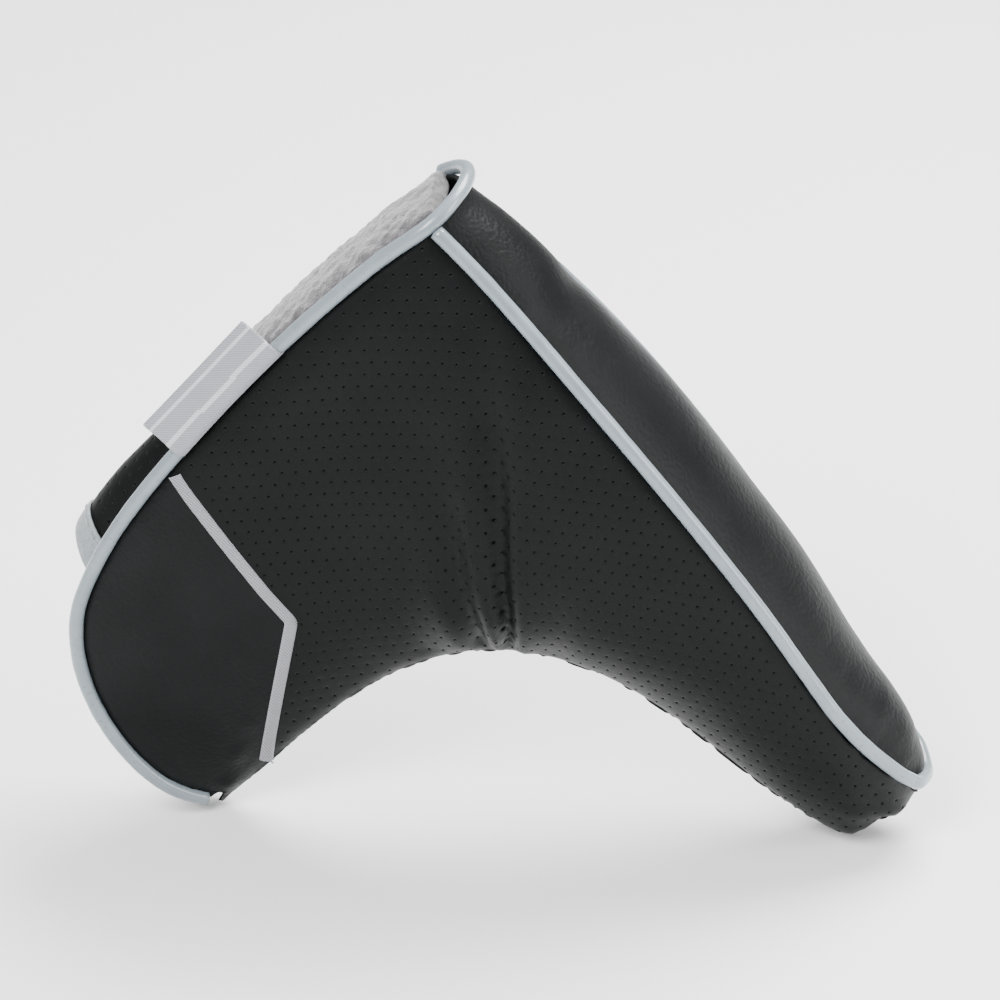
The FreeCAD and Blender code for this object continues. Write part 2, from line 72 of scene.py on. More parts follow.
def node_mesh(node):
    """Points in millimetres and triangles of a CAD node."""
    mesh = NODES[node].data
    mesh.calc_loop_triangles()
    triangles = np.empty(len(mesh.loop_triangles) * 3, np.int32)
    mesh.loop_triangles.foreach_get("vertices", triangles)
    return mesh_points(mesh), triangles.reshape(-1, 3)


def separate_faces(node):
    """The faces of a node that share no vertices, each as points and triangles."""
    points, triangles = node_mesh(node)
    labels = np.arange(len(points))
    while True:
        lowest = labels[triangles].min(axis=1)
        spread = labels.copy()
        np.minimum.at(spread, triangles.ravel(), np.repeat(lowest, 3))
        spread = spread[spread]
        if (spread == labels).all():
            break
        labels = spread
    faces = []
    for label in np.unique(labels[triangles[:, 0]]):
        own = triangles[labels[triangles[:, 0]] == label]
        used, numbered = np.unique(own, return_inverse=True)
        faces.append((points[used], numbered.reshape(-1, 3)))
    return faces


def facing(points, triangles):
    """Area vector of a set of triangles."""
    a, b, c = (points[triangles[:, i]] for i in range(3))
    return np.cross(b - a, c - a).sum(axis=0) / 2


def outer_face(node, direction):
    """The face of a sheet that looks along the direction."""
    return max(separate_faces(node), key=lambda face: float(facing(*face) @ np.array(direction)))


def rim_loop(points, triangles):
    """Ordered points round the edge of a face."""
    count = {}
    for triangle in triangles.tolist():
        for i in range(3):
            key = tuple(sorted((triangle[i], triangle[(i + 1) % 3])))
            count[key] = count.get(key, 0) + 1
    link = {}
    for (i, j), used in count.items():
        if used == 1:
            link.setdefault(i, []).append(j)
            link.setdefault(j, []).append(i)
    first = next(iter(link))
    order = [first]
    previous, current = None, first
    while True:
        following = [n for n in link[current] if n != previous][0]
        if following == first:
            break
        order.append(following)
        previous, current = current, following
    return points[order]


def side_between(loop, start, finish, away):
    """The part of a rim from one corner to another that keeps away from a third point."""
    count = len(loop)
    i = int(np.linalg.norm(loop - start, axis=1).argmin())
    j = int(np.linalg.norm(loop - finish, axis=1).argmin())
    forward = loop[[(i + k) % count for k in range((j - i) % count + 1)]]
    backward = loop[[(i - k) % count for k in range((i - j) % count + 1)]]
    return max((forward, backward), key=lambda part: np.linalg.norm(part - away, axis=1).min())


def lengths_along(points):
    """Running length at each point of a polyline."""
    return np.concatenate([[0.0], np.cumsum(np.linalg.norm(np.diff(points, axis=0), axis=1))])


def point_at(points, places):
    """Points of a polyline at the running lengths given."""
    runs = lengths_along(points)
    return np.stack([np.interp(places, runs, points[:, i]) for i in range(points.shape[1])], axis=-1)


def resample(points, step):
    """Evenly spaced points along a polyline, both ends kept."""
    total = lengths_along(points)[-1]
    return point_at(points, np.linspace(0, total, max(2, int(round(total / step)) + 1)))


def smoothed(path, rounds):
    """A path with its corners worn down, both ends kept."""
    path = path.copy()
    for _ in range(rounds):
        path[1:-1] = (path[:-2] + 2 * path[1:-1] + path[2:]) / 4
    return path


def left_of(ahead):
    """Unit vectors a quarter turn to the left of flat directions."""
    normal = np.stack([-ahead[:, 1], ahead[:, 0]], axis=1)
    return normal / np.linalg.norm(normal, axis=1)[:, None]


def tree_of(*faces):
    """One search tree over several faces."""
    points, triangles, start = [], [], 0
    for face_points, face_triangles in faces:
        points += face_points.tolist()
        triangles += (face_triangles + start).tolist()
        start += len(face_points)
    return BVHTree.FromPolygons(points, triangles)


def height(tree, side, x, z):
    """Y of the outside at x, z; side is -1 on the front and +1 on the back."""
    hit = tree.ray_cast(Vector((x, side * 80.0, z)), Vector((0, -side, 0)))[0]
    if hit is None:
        hit = tree.find_nearest(Vector((x, side * 12.0, z)))[0]
    return hit.y


def on_outside(tree, side, spots):
    """Points of the outside at flat spots."""
    return lifted(spots, np.array([height(tree, side, x, z) for x, z in spots]))


def flat(points):
    """X and Z of points."""
    return points[..., [0, 2]]


def lifted(spots, y):
    """Points from flat spots and their Y."""
    return np.stack([spots[:, 0], y, spots[:, 1]], axis=1)


def joined(*parts):
    """Parts laid end to end, without repeated points."""
    chain = [parts[0]]
    for part in parts[1:]:
        chain.append(part[1:] if np.linalg.norm(part[0] - chain[-1][-1]) < 0.4 else part)
    return np.concatenate(chain)


def axis_ends(node):
    """The two ends of a long thin node, the higher one first."""
    points, _ = node_mesh(node)
    centre = points.mean(axis=0)
    direction = np.linalg.svd(points - centre, full_matrices=False)[2][0]
    place = (points - centre) @ direction
    ends = [points[place > place.max() - 0.8].mean(axis=0), points[place < place.min() + 0.8].mean(axis=0)]
    return sorted(ends, key=lambda end: -end[2])


# --- outline of the cover, from the CAD nodes -----------------------------------------------------

panel = outer_face("front_panel", (0, -1, 0))
flap_top = outer_face("front_flap_panel", (0, -1, 0))
patch = outer_face("flap_patch", (0, -1, 0))
FRONT_TREE = tree_of(panel, flap_top, patch)
panel_rim = rim_loop(*panel)
toe_tip = panel_rim[panel_rim[:, 0].argmax()]
heel_apex = panel_rim[panel_rim[:, 2].argmax()]
neck_corner = panel_rim[panel_rim[:, 0].argmin()]
toe_bottom = panel_rim[np.where(panel_rim[:, 0] > 0, panel_rim[:, 2], 1e9).argmin()]
crotch_side = side_between(panel_rim, neck_corner, toe_bottom, heel_apex)
toe_side = side_between(panel_rim, toe_bottom, toe_tip, heel_apex)
sole_side = side_between(panel_rim, toe_tip, heel_apex, neck_corner)
fold_side = side_between(panel_rim, neck_corner, heel_apex, toe_tip)
top_rim = rim_loop(*flap_top)
stripe_top = top_rim[top_rim[:, 0].argmin()]
opening_upper = side_between(top_rim, top_rim[top_rim[:, 2].argmax()], stripe_top,
                             top_rim[top_rim[:, 2].argmin()])
patch_rim = rim_loop(*patch)
opening_lower = side_between(patch_rim, stripe_top, patch_rim[patch_rim[:, 2].argmin()],
                             patch_rim[patch_rim[:, 0].argmax()])
SOLE_DIRECTION = (toe_tip - heel_apex) * (1, 0, 1)
SOLE_DIRECTION /= np.linalg.norm(SOLE_DIRECTION)
SOLE_NORMAL = np.array([-SOLE_DIRECTION[2], 0, SOLE_DIRECTION[0]])
HEEL_SPOT = flat(heel_apex)
FAR_FROM_SOLE, FAR_FROM_MOUTH = np.array([100.0, 200.0]), np.array([-200.0, 100.0])
opening_side = joined(flat(opening_upper), flat(opening_lower))
SEAM_EDGE = joined(flat(crotch_side), flat(toe_side))
PIPED_EDGE = joined(flat(sole_side), opening_side)

# the stripe's two arms meet at the fold line; both ends run a little past the CAD's
upper_arm = axis_ends("flap_stripe")
lower_arm = axis_ends("neck_stripe")
STRIPE = flat(np.array([upper_arm[0], (upper_arm[1] + lower_arm[0]) / 2, lower_arm[1]]))
STRIPE_HALF = 1.35
STRIPE[0] += (STRIPE[0] - STRIPE[1]) * 0.02
STRIPE[2] += (STRIPE[2] - STRIPE[1]) * 0.05


# --- flat meshing ---------------------------------------------------------------------------------

def distance_to(line, spots):
    """Distance of each spot to a polyline, and the running length where it is nearest."""
    starts, legs = line[:-1], np.diff(line, axis=0)
    squares = np.maximum((legs ** 2).sum(axis=1), 1e-12)
    runs = lengths_along(line)
    best = np.full(len(spots), 1e9)
    where = np.zeros(len(spots))
    for chunk in range(0, len(spots), 4000):
        rel = spots[chunk:chunk + 4000, None, :] - starts[None]
        share = np.clip((rel * legs[None]).sum(axis=2) / squares[None], 0, 1)
        gap = np.linalg.norm(rel - legs[None] * share[..., None], axis=2)
        nearest = gap.argmin(axis=1)
        row = np.arange(len(nearest))
        best[chunk:chunk + 4000] = gap[row, nearest]
        where[chunk:chunk + 4000] = runs[nearest] + share[row, nearest] * np.sqrt(squares[nearest])
    return best, where


def inside(outline, spots):
    """Which spots lie inside a closed outline."""
    x, z = spots[:, 0], spots[:, 1]
    result = np.zeros(len(spots), bool)
    for (ax, az), (bx, bz) in zip(outline, np.roll(outline, -1, axis=0)):
        crosses = (az > z) != (bz > z)
        if crosses.any():
            at = ax + (z - az) / (bz - az if bz != az else 1e-9) * (bx - ax)
            result ^= crosses & (x < at)
    return result


def hex_points(outline, step):
    """Hexagonal lattice over the box of an outline."""
    low, high = outline.min(axis=0), outline.max(axis=0)
    rows = []
    rise = step * math.sqrt(0.75)
    for j in range(int((high[1] - low[1]) / rise) + 2):
        x = np.arange(low[0] + (j % 2) * step / 2, high[0] + step, step)
        rows.append(np.stack([x, np.full(len(x), low[1] + j * rise)], axis=1))
    return np.concatenate(rows)


def closed(outline):
    return np.concatenate([outline, outline[:1]])


def rings_inside(outline, depths):
    """Rows of points that follow the outline at small depths, so that a rolled edge is smooth."""
    normal = left_of(np.roll(outline, -1, axis=0) - np.roll(outline, 1, axis=0))
    if inside(outline, outline + normal * 0.05).mean() <= 0.5:
        normal = -normal
    spots = np.concatenate([outline + normal * depth for depth in depths])
    gap = distance_to(closed(outline), spots)[0]
    kept = np.repeat(depths, len(outline)) * 0.9 <= gap
    return spots[kept & inside(outline, spots)]


def fill(outline, interior):
    """Delaunay triangles of an outline and the points inside it, counter-clockwise in X, Z."""
    count = len(outline)
    spots = [Vector(point) for point in outline.tolist() + interior.tolist()]
    edges = [(i, (i + 1) % count) for i in range(count)]
    result = delaunay_2d_cdt(spots, edges, [], 1, 1e-4)
    if len(result[0]) != len(spots):
        raise RuntimeError("points of a sheet fell together")
    return np.array([vertex[:] for vertex in result[0]]), [tuple(face) for face in result[2]]


def object_of(name, points, faces):
    """A smooth-shaded mesh object from points in millimetres."""
    mesh = bpy.data.meshes.new(name)
    mesh.from_pydata((np.asarray(points) * MM).tolist(), [], [tuple(map(int, face)) for face in faces])
    mesh.validate()
    mesh.polygons.foreach_set("use_smooth", [True] * len(mesh.polygons))
    obj = bpy.data.objects.new(name, mesh)
    bpy.context.scene.collection.objects.link(obj)
    return obj


def centres_of(mesh):
    """Middle of each face, in millimetres."""
    centres = np.empty(len(mesh.polygons) * 3)
    mesh.polygons.foreach_get("center", centres)
    return centres.reshape(-1, 3) / MM


def quads_between(rings, around, start=0):
    """Faces between closed rings of points that are numbered in order."""
    faces = []
    for i in range(rings - 1):
        low, high = start + i * around, start + (i + 1) * around
        for k in range(around):
            n = (k + 1) % around
            faces.append((low + k, low + n, high + n, high + k))
    return faces


def step_between(low, high, value):
    """Smooth step from 0 at low to 1 at high."""
    place = np.clip((value - low) / (high - low), 0, 1)
    return place * place * (3 - 2 * place)


def waves(spots, scale, seed):
    """Smooth noise, about -1 to 1, with features of the given size in millimetres."""
    return np.array([noise.noise(Vector((x / scale, z / scale, seed * 7.3))) for x, z in spots]) * 1.6


# --- folds in the leather -------------------------------------------------------------------------

ARCH = crotch_side[np.abs(crotch_side[:, 0] - 2.0).argmin()]
LEG = heel_apex[2] - ARCH[2]


def fold_line(*places):
    """A fold: points given as X from the arch and share of the height from the arch to the heel."""
    return np.array([(ARCH[0] + x, ARCH[2] + share * LEG) for x, share in places])


# each fold: its line, its widths at the bottom and top, its depths at the bottom and top
FRONT_FOLDS = [
    (fold_line((0.2, 0.0), (0.0, 0.14), (-0.8, 0.26), (-1.3, 0.43), (-2.2, 0.57), (-4.0, 0.72)),
     (1.2, 3.0), (2.7, 0.5)),
    (fold_line((-4.2, -0.01), (-6.2, 0.08), (-9.8, 0.22), (-11.8, 0.38), (-12.2, 0.5)),
     (2.0, 2.6), (2.1, 0.2)),
    (fold_line((9.5, 0.0), (10.5, 0.12), (9.0, 0.3)), (2.6, 3.4), (0.6, 0.05)),
    (fold_line((-17.0, 0.0), (-19.5, 0.1), (-22.0, 0.22)), (3.0, 4.0), (0.55, 0.05)),
]
BACK_FOLDS = [
    (fold_line((-2.0, 0.0), (-2.6, 0.16), (-1.0, 0.36), (1.5, 0.55)), (1.6, 3.2), (1.8, 0.25)),
    (fold_line((5.0, 0.0), (7.5, 0.12), (11.0, 0.27), (14.0, 0.38)), (2.0, 3.0), (1.2, 0.15)),
    (fold_line((-11.0, -0.01), (-14.0, 0.12), (-18.0, 0.26)), (2.4, 3.2), (0.8, 0.1)),
]


def fold_depth(folds, spots):
    """How far the folds pull the leather in at each spot, with the soft rolls beside them."""
    depth = np.zeros(len(spots))
    for line, widths, depths in folds:
        smooth_line = smoothed(resample(line, 1.0), 6)
        gap, where = distance_to(smooth_line, spots)
        share = where / lengths_along(smooth_line)[-1]
        width = widths[0] + (widths[1] - widths[0]) * share
        deep = depths[0] + (depths[1] - depths[0]) * share
        fade = 1 - step_between(0.82, 1.0, share)
        beyond = np.exp(-(np.maximum(gap - width * 3, 0) / 3) ** 2)
        valley = np.exp(-(gap / width) ** 2)
        roll = np.exp(-((gap - 2.3 * width) / (1.3 * width)) ** 2)
        depth += deep * fade * (valley - 0.32 * roll * beyond)
    return depth


def faded_depth(folds, spots):
    """Depth of the folds, faded out where the leather goes into the plain seam."""
    return fold_depth(folds, spots) * step_between(0.2, 5.0, distance_to(SEAM_EDGE, spots)[0])


# --- cloth ----------------------------------------------------------------------------------------

PRESSURE = 2.0
CLOTH_SCALE = 10.0
CLOTH_FRAMES = 20


def settle(points, faces, pinned, cap):
    """Blow a sheet out between its pinned points with the cloth solver, at ten times its size."""
    obj = object_of("settling", points * CLOTH_SCALE, faces)
    group = obj.vertex_groups.new(name="pin")
    for weight in np.unique(np.round(pinned, 2)):
        group.add(np.where(np.abs(pinned - weight) < 0.006)[0].tolist(), float(weight), "REPLACE")
    cloth = obj.modifiers.new("Cloth", "CLOTH")
    settings = cloth.settings
    settings.quality = 5
    settings.mass = 0.3
    settings.tension_stiffness = settings.compression_stiffness = 15
    settings.shear_stiffness = 5
    settings.bending_stiffness = 2.0
    settings.vertex_group_mass = "pin"
    settings.use_pressure = True
    settings.uniform_pressure_force = PRESSURE
    settings.effector_weights.gravity = 0
    cloth.point_cache.frame_start, cloth.point_cache.frame_end = 1, CLOTH_FRAMES
    scene = bpy.context.scene
    for number in range(1, CLOTH_FRAMES + 1):
        scene.frame_set(number)
    shown = obj.evaluated_get(bpy.context.evaluated_depsgraph_get())
    shift = mesh_points(shown.data) / CLOTH_SCALE - points
    scene.frame_set(1)
    bpy.data.objects.remove(obj)
    length = np.linalg.norm(shift, axis=1)
    shift *= (np.minimum(length, cap) / np.maximum(length, 1e-9))[:, None]
    print("cloth moved", round(float(length.mean()), 3), "mm, most", round(float(length.max()), 3))
    return points + shift


def softened(points, faces):
    """One subdivision of a sheet, as points and faces."""
    obj = object_of("softening", points, faces)
    obj.modifiers.new("Subdivision", "SUBSURF").levels = 1
    shown = obj.evaluated_get(bpy.context.evaluated_depsgraph_get()).data
    result = mesh_points(shown), [tuple(polygon.vertices) for polygon in shown.polygons]
    bpy.data.objects.remove(obj)
    return result


# --- leather sheets -------------------------------------------------------------------------------

HOLE_PITCH, HOLE_ROW = 2.8, 2.6
HOLE_EDGE, HOLE_RIM, HOLE_FLOOR = 0.52, 0.31, 0.2
HOLE_DEPTH = 0.5
HOLE_MARGIN = 2.0
HOLE_SIDES = 8


def hole_spots(outline, shift=0.0):
    """Staggered pinholes clear of the outline, in rows that sag away from the arch on both legs."""
    low, high = outline.min(axis=0), outline.max(axis=0) + (0, 30)
    rows = []
    for j in range(int((high[1] - low[1]) / HOLE_ROW) + 12):
        x = np.arange(low[0] + (j % 2) * HOLE_PITCH / 2 + shift, high[0], HOLE_PITCH)
        sag = 0.13 * (np.sqrt((x - ARCH[0]) ** 2 + 400) - 20)
        rows.append(np.stack([x, low[1] + j * HOLE_ROW - sag], axis=1))
    spots = np.concatenate(rows)
    spots = spots[inside(outline, spots)]
    return spots[distance_to(closed(outline), spots)[0] > HOLE_MARGIN]


def hole_points(spots):
    """Points of each pinhole and how deep each one sits."""
    angles = np.arange(HOLE_SIDES) * 2 * math.pi / HOLE_SIDES
    ring = np.stack([np.cos(angles), np.sin(angles)], axis=1)
    shape = np.concatenate([ring * HOLE_EDGE, ring * HOLE_RIM, ring * HOLE_FLOOR, [[0.0, 0.0]]])
    depth = np.append(np.repeat([0.0, 0.03, HOLE_DEPTH * 0.85], HOLE_SIDES), HOLE_DEPTH)
    points = (spots[:, None, :] + shape[None]).reshape(-1, 2)
    return points, np.tile(depth, len(spots))


def clear_of(spots, others, gap):
    """Spots that keep a gap to all the others."""
    if not len(others):
        return spots
    cells = {}
    for x, z in others.tolist():
        cells.setdefault((int(x // 3), int(z // 3)), []).append((x, z))
    kept = []
    for x, z in spots.tolist():
        i, j = int(x // 3), int(z // 3)
        near = [other for a in (-1, 0, 1) for b in (-1, 0, 1) for other in cells.get((i + a, j + b), [])]
        kept.append(all((x - a) ** 2 + (z - b) ** 2 > gap * gap for a, b in near))
    return spots[np.array(kept, bool)]


def leather_sheet(name, outline, holes, place, side, slack):
    """Leather with real pinholes: place(spots, depth) gives the points that far under the outside."""
    ring_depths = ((0.12, 0.35, 0.7, 1.2))
    rings = rings_inside(outline, ring_depths)
    pits, pit_depth = hole_points(holes)
    step = 1.35
    lattice = hex_points(outline, step)
    gap = distance_to(closed(outline), lattice)[0]
    lattice = lattice[inside(outline, lattice) & (gap > ring_depths[-1] + 0.4 * step)]
    lattice = clear_of(lattice, holes, HOLE_EDGE + 0.3)
    spots, faces = fill(outline, np.concatenate([rings, pits, lattice]))
    depth = np.zeros(len(spots))
    start = len(outline) + len(rings)
    depth[start:start + len(pits)] = pit_depth
    outer = place(spots, depth)
    coarse = hex_points(outline, 2.6)
    gap = distance_to(closed(outline), coarse)[0]
    coarse = np.concatenate([rings_inside(outline, (0.7,)), coarse[inside(outline, coarse) & (gap > 1.9)]])
    inner_spots, inner_faces = fill(outline, coarse)
    inner = place(inner_spots, LEATHER_PLY * slack(inner_spots))
    count, base = len(outline), len(outer)
    solid = [face if side == FRONT else face[::-1] for face in faces]
    solid += [tuple(base + i for i in (face[::-1] if side == FRONT else face)) for face in inner_faces]
    for i in range(count):
        j = (i + 1) % count
        rim = (i, base + i, base + j, j)
        solid.append(rim if side == FRONT else rim[::-1])
    obj = object_of(name, np.concatenate([outer, inner]), solid)
    # Share of the hole depth at each point; the leather material uses it to paint shade into the pinholes.
    pit_shade = obj.data.attributes.new("pit_shade", "FLOAT", "POINT")
    share = np.concatenate([depth / HOLE_DEPTH, np.zeros(len(inner))])
    pit_shade.data.foreach_set("value", share.astype(np.float32))
    return obj


def roll_in(spots, piped_edge):
    """How far the edges roll in: right down to the middle at the plain seam, a little under the piping."""
    seam_gap = distance_to(SEAM_EDGE, spots)[0]
    piped_gap = distance_to(piped_edge, spots)[0]
    seam = 1 - np.sqrt(np.maximum(1 - (1 - np.minimum(seam_gap / 2.6, 1)) ** 2, 0))
    return seam, 1.0 * (1 - np.minimum(piped_gap / 2.4, 1)) ** 2 * (1 - seam)


def vertex_normals(points, triangles):
    """Unit normals at the points, weighted by the area of the faces round them."""
    a, b, c = (points[triangles[:, i]] for i in range(3))
    area = np.cross(b - a, c - a)
    normals = np.zeros_like(points)
    for i in range(3):
        np.add.at(normals, triangles[:, i], area)
    return normals / np.maximum(np.linalg.norm(normals, axis=1), 1e-12)[:, None]


def doubled_area(a, b, c):
    """Twice the signed areas of flat triangles."""
    return (b[:, 0] - a[:, 0]) * (c[:, 1] - a[:, 1]) - (b[:, 1] - a[:, 1]) * (c[:, 0] - a[:, 0])


class Skin:
    """The outside of one side of the cover after settling, as a smooth map from flat spots to points."""

    def __init__(self, side, outline, place, folds, seed):
        self.folds = folds
        lattice = hex_points(outline, 2.0)
        gap = distance_to(closed(outline), lattice)[0]
        lattice = lattice[inside(outline, lattice) & (gap > 2.0)]
        spots, faces = fill(outline, np.concatenate([rings_inside(outline, (0.5, 1.2)), lattice]))
        if side == BACK:
            faces = [face[::-1] for face in faces]
        points = place(spots)
        normals = vertex_normals(points, np.array(faces))
        gap = distance_to(closed(outline), spots)[0]
        slow = 0.32 * waves(spots, 24, seed) + 0.1 * waves(spots, 9, seed + 1)
        points = points + normals * (slow * np.minimum(1, gap / 7))[:, None]
        valley = np.clip(fold_depth(folds, spots) / 1.2, 0, 1)
        pinned = np.where(gap < 0.6, 1.0, 0.9 * step_between(0.3, 0.8, valley))
        points = settle(points, faces, pinned, 1.2)
        self.points, smooth_faces = softened(points, faces)
        flat_points, _ = softened(lifted(spots, np.zeros(len(spots))), faces)
        self.spots = flat(flat_points)
        self.triangles = np.array([tri for a, b, c, d in smooth_faces for tri in ((a, b, c), (a, c, d))])
        self.normals = vertex_normals(self.points, self.triangles)
        self.tree = BVHTree.FromPolygons(flat_points.tolist(), self.triangles.tolist())

    def at(self, spots):
        """Points and unit outward normals of the skin at flat spots, folds included."""
        corners = self.triangles[[self.tree.find_nearest(Vector((x, 0, z)))[2] for x, z in spots.tolist()]]
        a, b, c = (self.spots[corners[:, i]] for i in range(3))
        area = doubled_area(a, b, c)
        second = doubled_area(a, spots, c) / area
        third = doubled_area(a, b, spots) / area
        weights = np.stack([1 - second - third, second, third], axis=1)[..., None]
        points = (self.points[corners] * weights).sum(axis=1)
        normals = (self.normals[corners] * weights).sum(axis=1)
        normals /= np.linalg.norm(normals, axis=1)[:, None]
        return points - normals * faded_depth(self.folds, spots)[:, None], normals


# --- materials ------------------------------------------------------------------------------------

def material(name):
    """A material with its principled shader and object coordinates."""
    made = bpy.data.materials.new(name)
    made.use_nodes = True
    tree = made.node_tree
    shader = tree.nodes["Principled BSDF"]
    coordinates = tree.nodes.new("ShaderNodeTexCoord")
    return made, tree, shader, coordinates.outputs["Object"]


def add(tree, kind, inputs=None, **settings):
    """A shader node with its settings and inputs."""
    node = tree.nodes.new(kind)
    for key, value in settings.items():
        setattr(node, key, value)
    for key, value in (inputs or {}).items():
        if isinstance(value, bpy.types.NodeSocket):
            tree.links.new(value, node.inputs[key])
        else:
            node.inputs[key].default_value = value
    return node


def noise_of(tree, vector, scale, detail=2.0, roughness=0.5):
    """Noise with features about one over the scale long, in metres."""
    return add(tree, "ShaderNodeTexNoise", {"Vector": vector, "Scale": scale, "Detail": detail,
                                            "Roughness": roughness}).outputs["Fac"]


def mixed(tree, factor, first, second):
    """Colour between two colours, by a factor from 0 to 1."""
    inputs = {0: factor, 6: (*first, 1), 7: (*second, 1)}
    return add(tree, "ShaderNodeMix", inputs, data_type="RGBA").outputs[2]


def ranged(tree, value, low, high, start=0.0, finish=1.0):
    """A value mapped from start and finish to low and high."""
    return add(tree, "ShaderNodeMapRange", {"Value": value, "From Min": start, "From Max": finish,
                                            "To Min": low, "To Max": high}).outputs["Result"]


def bumped(tree, shader, height_socket, distance, strength, base=None):
    """Bump of a height, in metres, on top of another bump if one is given."""
    inputs = {"Height": height_socket, "Distance": distance, "Strength": strength}
    if base is not None:
        inputs["Normal"] = base
    node = add(tree, "ShaderNodeBump", inputs)
    tree.links.new(node.outputs["Normal"], shader.inputs["Normal"])
    return node.outputs["Normal"]


# Painted shade: the near-black colour laid inside the pinholes.
HOLE_SHADE_COLOUR = (0.002, 0.002, 0.002, 1)


def leather_material(name, dark, light, pebble, pebble_depth, roughness):
    """Coated leather: pebbled grain, faint creasing and uneven sheen; painted shade darkens the pinholes.
    """
    made, tree, shader, place = material(name)
    shade = noise_of(tree, place, 55, 3)
    fine = noise_of(tree, place, 900, 3, 0.6)
    cells = add(tree, "ShaderNodeTexVoronoi", {"Vector": place, "Scale": pebble}, feature="SMOOTH_F1")
    grain = ranged(tree, cells.outputs["Distance"], 1.0, 0.0, 0.0, 0.75)
    colour = mixed(tree, ranged(tree, shade, 0.0, 1.0, 0.3, 0.7), dark, light)
    # Painted shade: the colour goes towards near black inside the pinholes, by each point's share of the
    # hole depth.
    pit_shade = add(tree, "ShaderNodeAttribute", attribute_name="pit_shade")
    hole_shade = add(tree, "ShaderNodeMix", {0: pit_shade.outputs["Fac"], 6: colour, 7: HOLE_SHADE_COLOUR}, data_type="RGBA")
    tree.links.new(hole_shade.outputs[2], shader.inputs["Base Color"])
    sheen = {0: ranged(tree, fine, -0.05, 0.05), 1: ranged(tree, shade, roughness, roughness + 0.08)}
    rough = add(tree, "ShaderNodeMath", sheen, operation="ADD")
    tree.links.new(rough.outputs[0], shader.inputs["Roughness"])
    shader.inputs["Specular IOR Level"].default_value = 0.1
    first = bumped(tree, shader, grain, pebble_depth, 0.7)
    second = bumped(tree, shader, fine, 0.00003, 0.5, first)
    bumped(tree, shader, noise_of(tree, place, 220, 2), 0.00012, 0.35, second)
    return made


def vinyl_material(name, colour, deep):
    """Semi-gloss vinyl over a cord: faint ripple and slightly uneven colour."""
    made, tree, shader, place = material(name)
    shade = noise_of(tree, place, 160, 3)
    uneven = mixed(tree, ranged(tree, shade, 0, 1, 0.3, 0.7), deep, colour)
    tree.links.new(uneven, shader.inputs["Base Color"])
    tree.links.new(ranged(tree, noise_of(tree, place, 700, 2), 0.22, 0.36), shader.inputs["Roughness"])
    shader.inputs["Coat Weight"].default_value = 0.35
    shader.inputs["Coat Roughness"].default_value = 0.18
    bumped(tree, shader, noise_of(tree, place, 420, 3), 0.00008, 0.5)
    return made


def fibre_material(name, dark, light, scale, depth, roughness=0.9, sheen=0.5):
    """Matt fibres: mottled colour, fine relief and sheen."""
    made, tree, shader, place = material(name)
    shade = noise_of(tree, place, scale, 4, 0.65)
    mottled = mixed(tree, ranged(tree, shade, 0, 1, 0.32, 0.68), dark, light)
    tree.links.new(mottled, shader.inputs["Base Color"])
    shader.inputs["Roughness"].default_value = roughness
    shader.inputs["Sheen Weight"].default_value = sheen
    shader.inputs["Sheen Roughness"].default_value = 0.5
    bumped(tree, shader, noise_of(tree, place, scale * 2.2, 4, 0.7), depth, 0.8)
    return made


def thread_material(name, colour, dark, across, pitch):
    """Twisted thread: slanted strands with a silky sheen."""
    made, tree, shader, place = material(name)
    wave = add(tree, "ShaderNodeTexWave", {"Vector": place, "Scale": 1 / pitch, "Distortion": 0.6,
                                           "Detail": 1.0}, bands_direction=across)
    tree.links.new(mixed(tree, wave.outputs["Fac"], dark, colour), shader.inputs["Base Color"])
    shader.inputs["Roughness"].default_value = 0.42
    shader.inputs["Sheen Weight"].default_value = 0.3
    bumped(tree, shader, wave.outputs["Fac"], 0.00005, 0.6)
    return made


def twill_material(name, colour, dark, run, across):
    """Woven ribbon: fine diagonal twill and cross threads, slightly uneven in colour."""
    made, tree, shader, place = material(name)
    u, v = (add(tree, "ShaderNodeVectorMath", {0: place, 1: tuple(axis)}, operation="DOT_PRODUCT")
            for axis in (run, across))
    combined = add(tree, "ShaderNodeCombineXYZ", {"X": u.outputs["Value"], "Y": v.outputs["Value"]})
    combined = combined.outputs["Vector"]
    slant = add(tree, "ShaderNodeTexWave", {"Vector": combined, "Scale": 900.0, "Distortion": 0.3},
                bands_direction="DIAGONAL").outputs["Fac"]
    picks = add(tree, "ShaderNodeTexWave", {"Vector": combined, "Scale": 1100.0, "Distortion": 0.2},
                bands_direction="X").outputs["Fac"]
    cloudy = noise_of(tree, place, 140, 3)
    inputs = {0: 0.35, 6: mixed(tree, slant, dark, colour), 7: ranged(tree, cloudy, 0.75, 1.1)}
    uneven = add(tree, "ShaderNodeMix", inputs, data_type="RGBA", blend_type="MULTIPLY")
    tree.links.new(uneven.outputs[2], shader.inputs["Base Color"])
    shader.inputs["Roughness"].default_value = 0.48
    shader.inputs["Sheen Weight"].default_value = 0.35
    first = bumped(tree, shader, slant, 0.00006, 0.7)
    bumped(tree, shader, picks, 0.00004, 0.5, first)
    return made


def metal_material(name):
    """Plated metal with slightly uneven gloss."""
    made, tree, shader, place = material(name)
    shader.inputs["Base Color"].default_value = (0.6, 0.59, 0.57, 1)
    shader.inputs["Metallic"].default_value = 1.0
    tree.links.new(ranged(tree, noise_of(tree, place, 600, 2), 0.18, 0.32), shader.inputs["Roughness"])
    return made


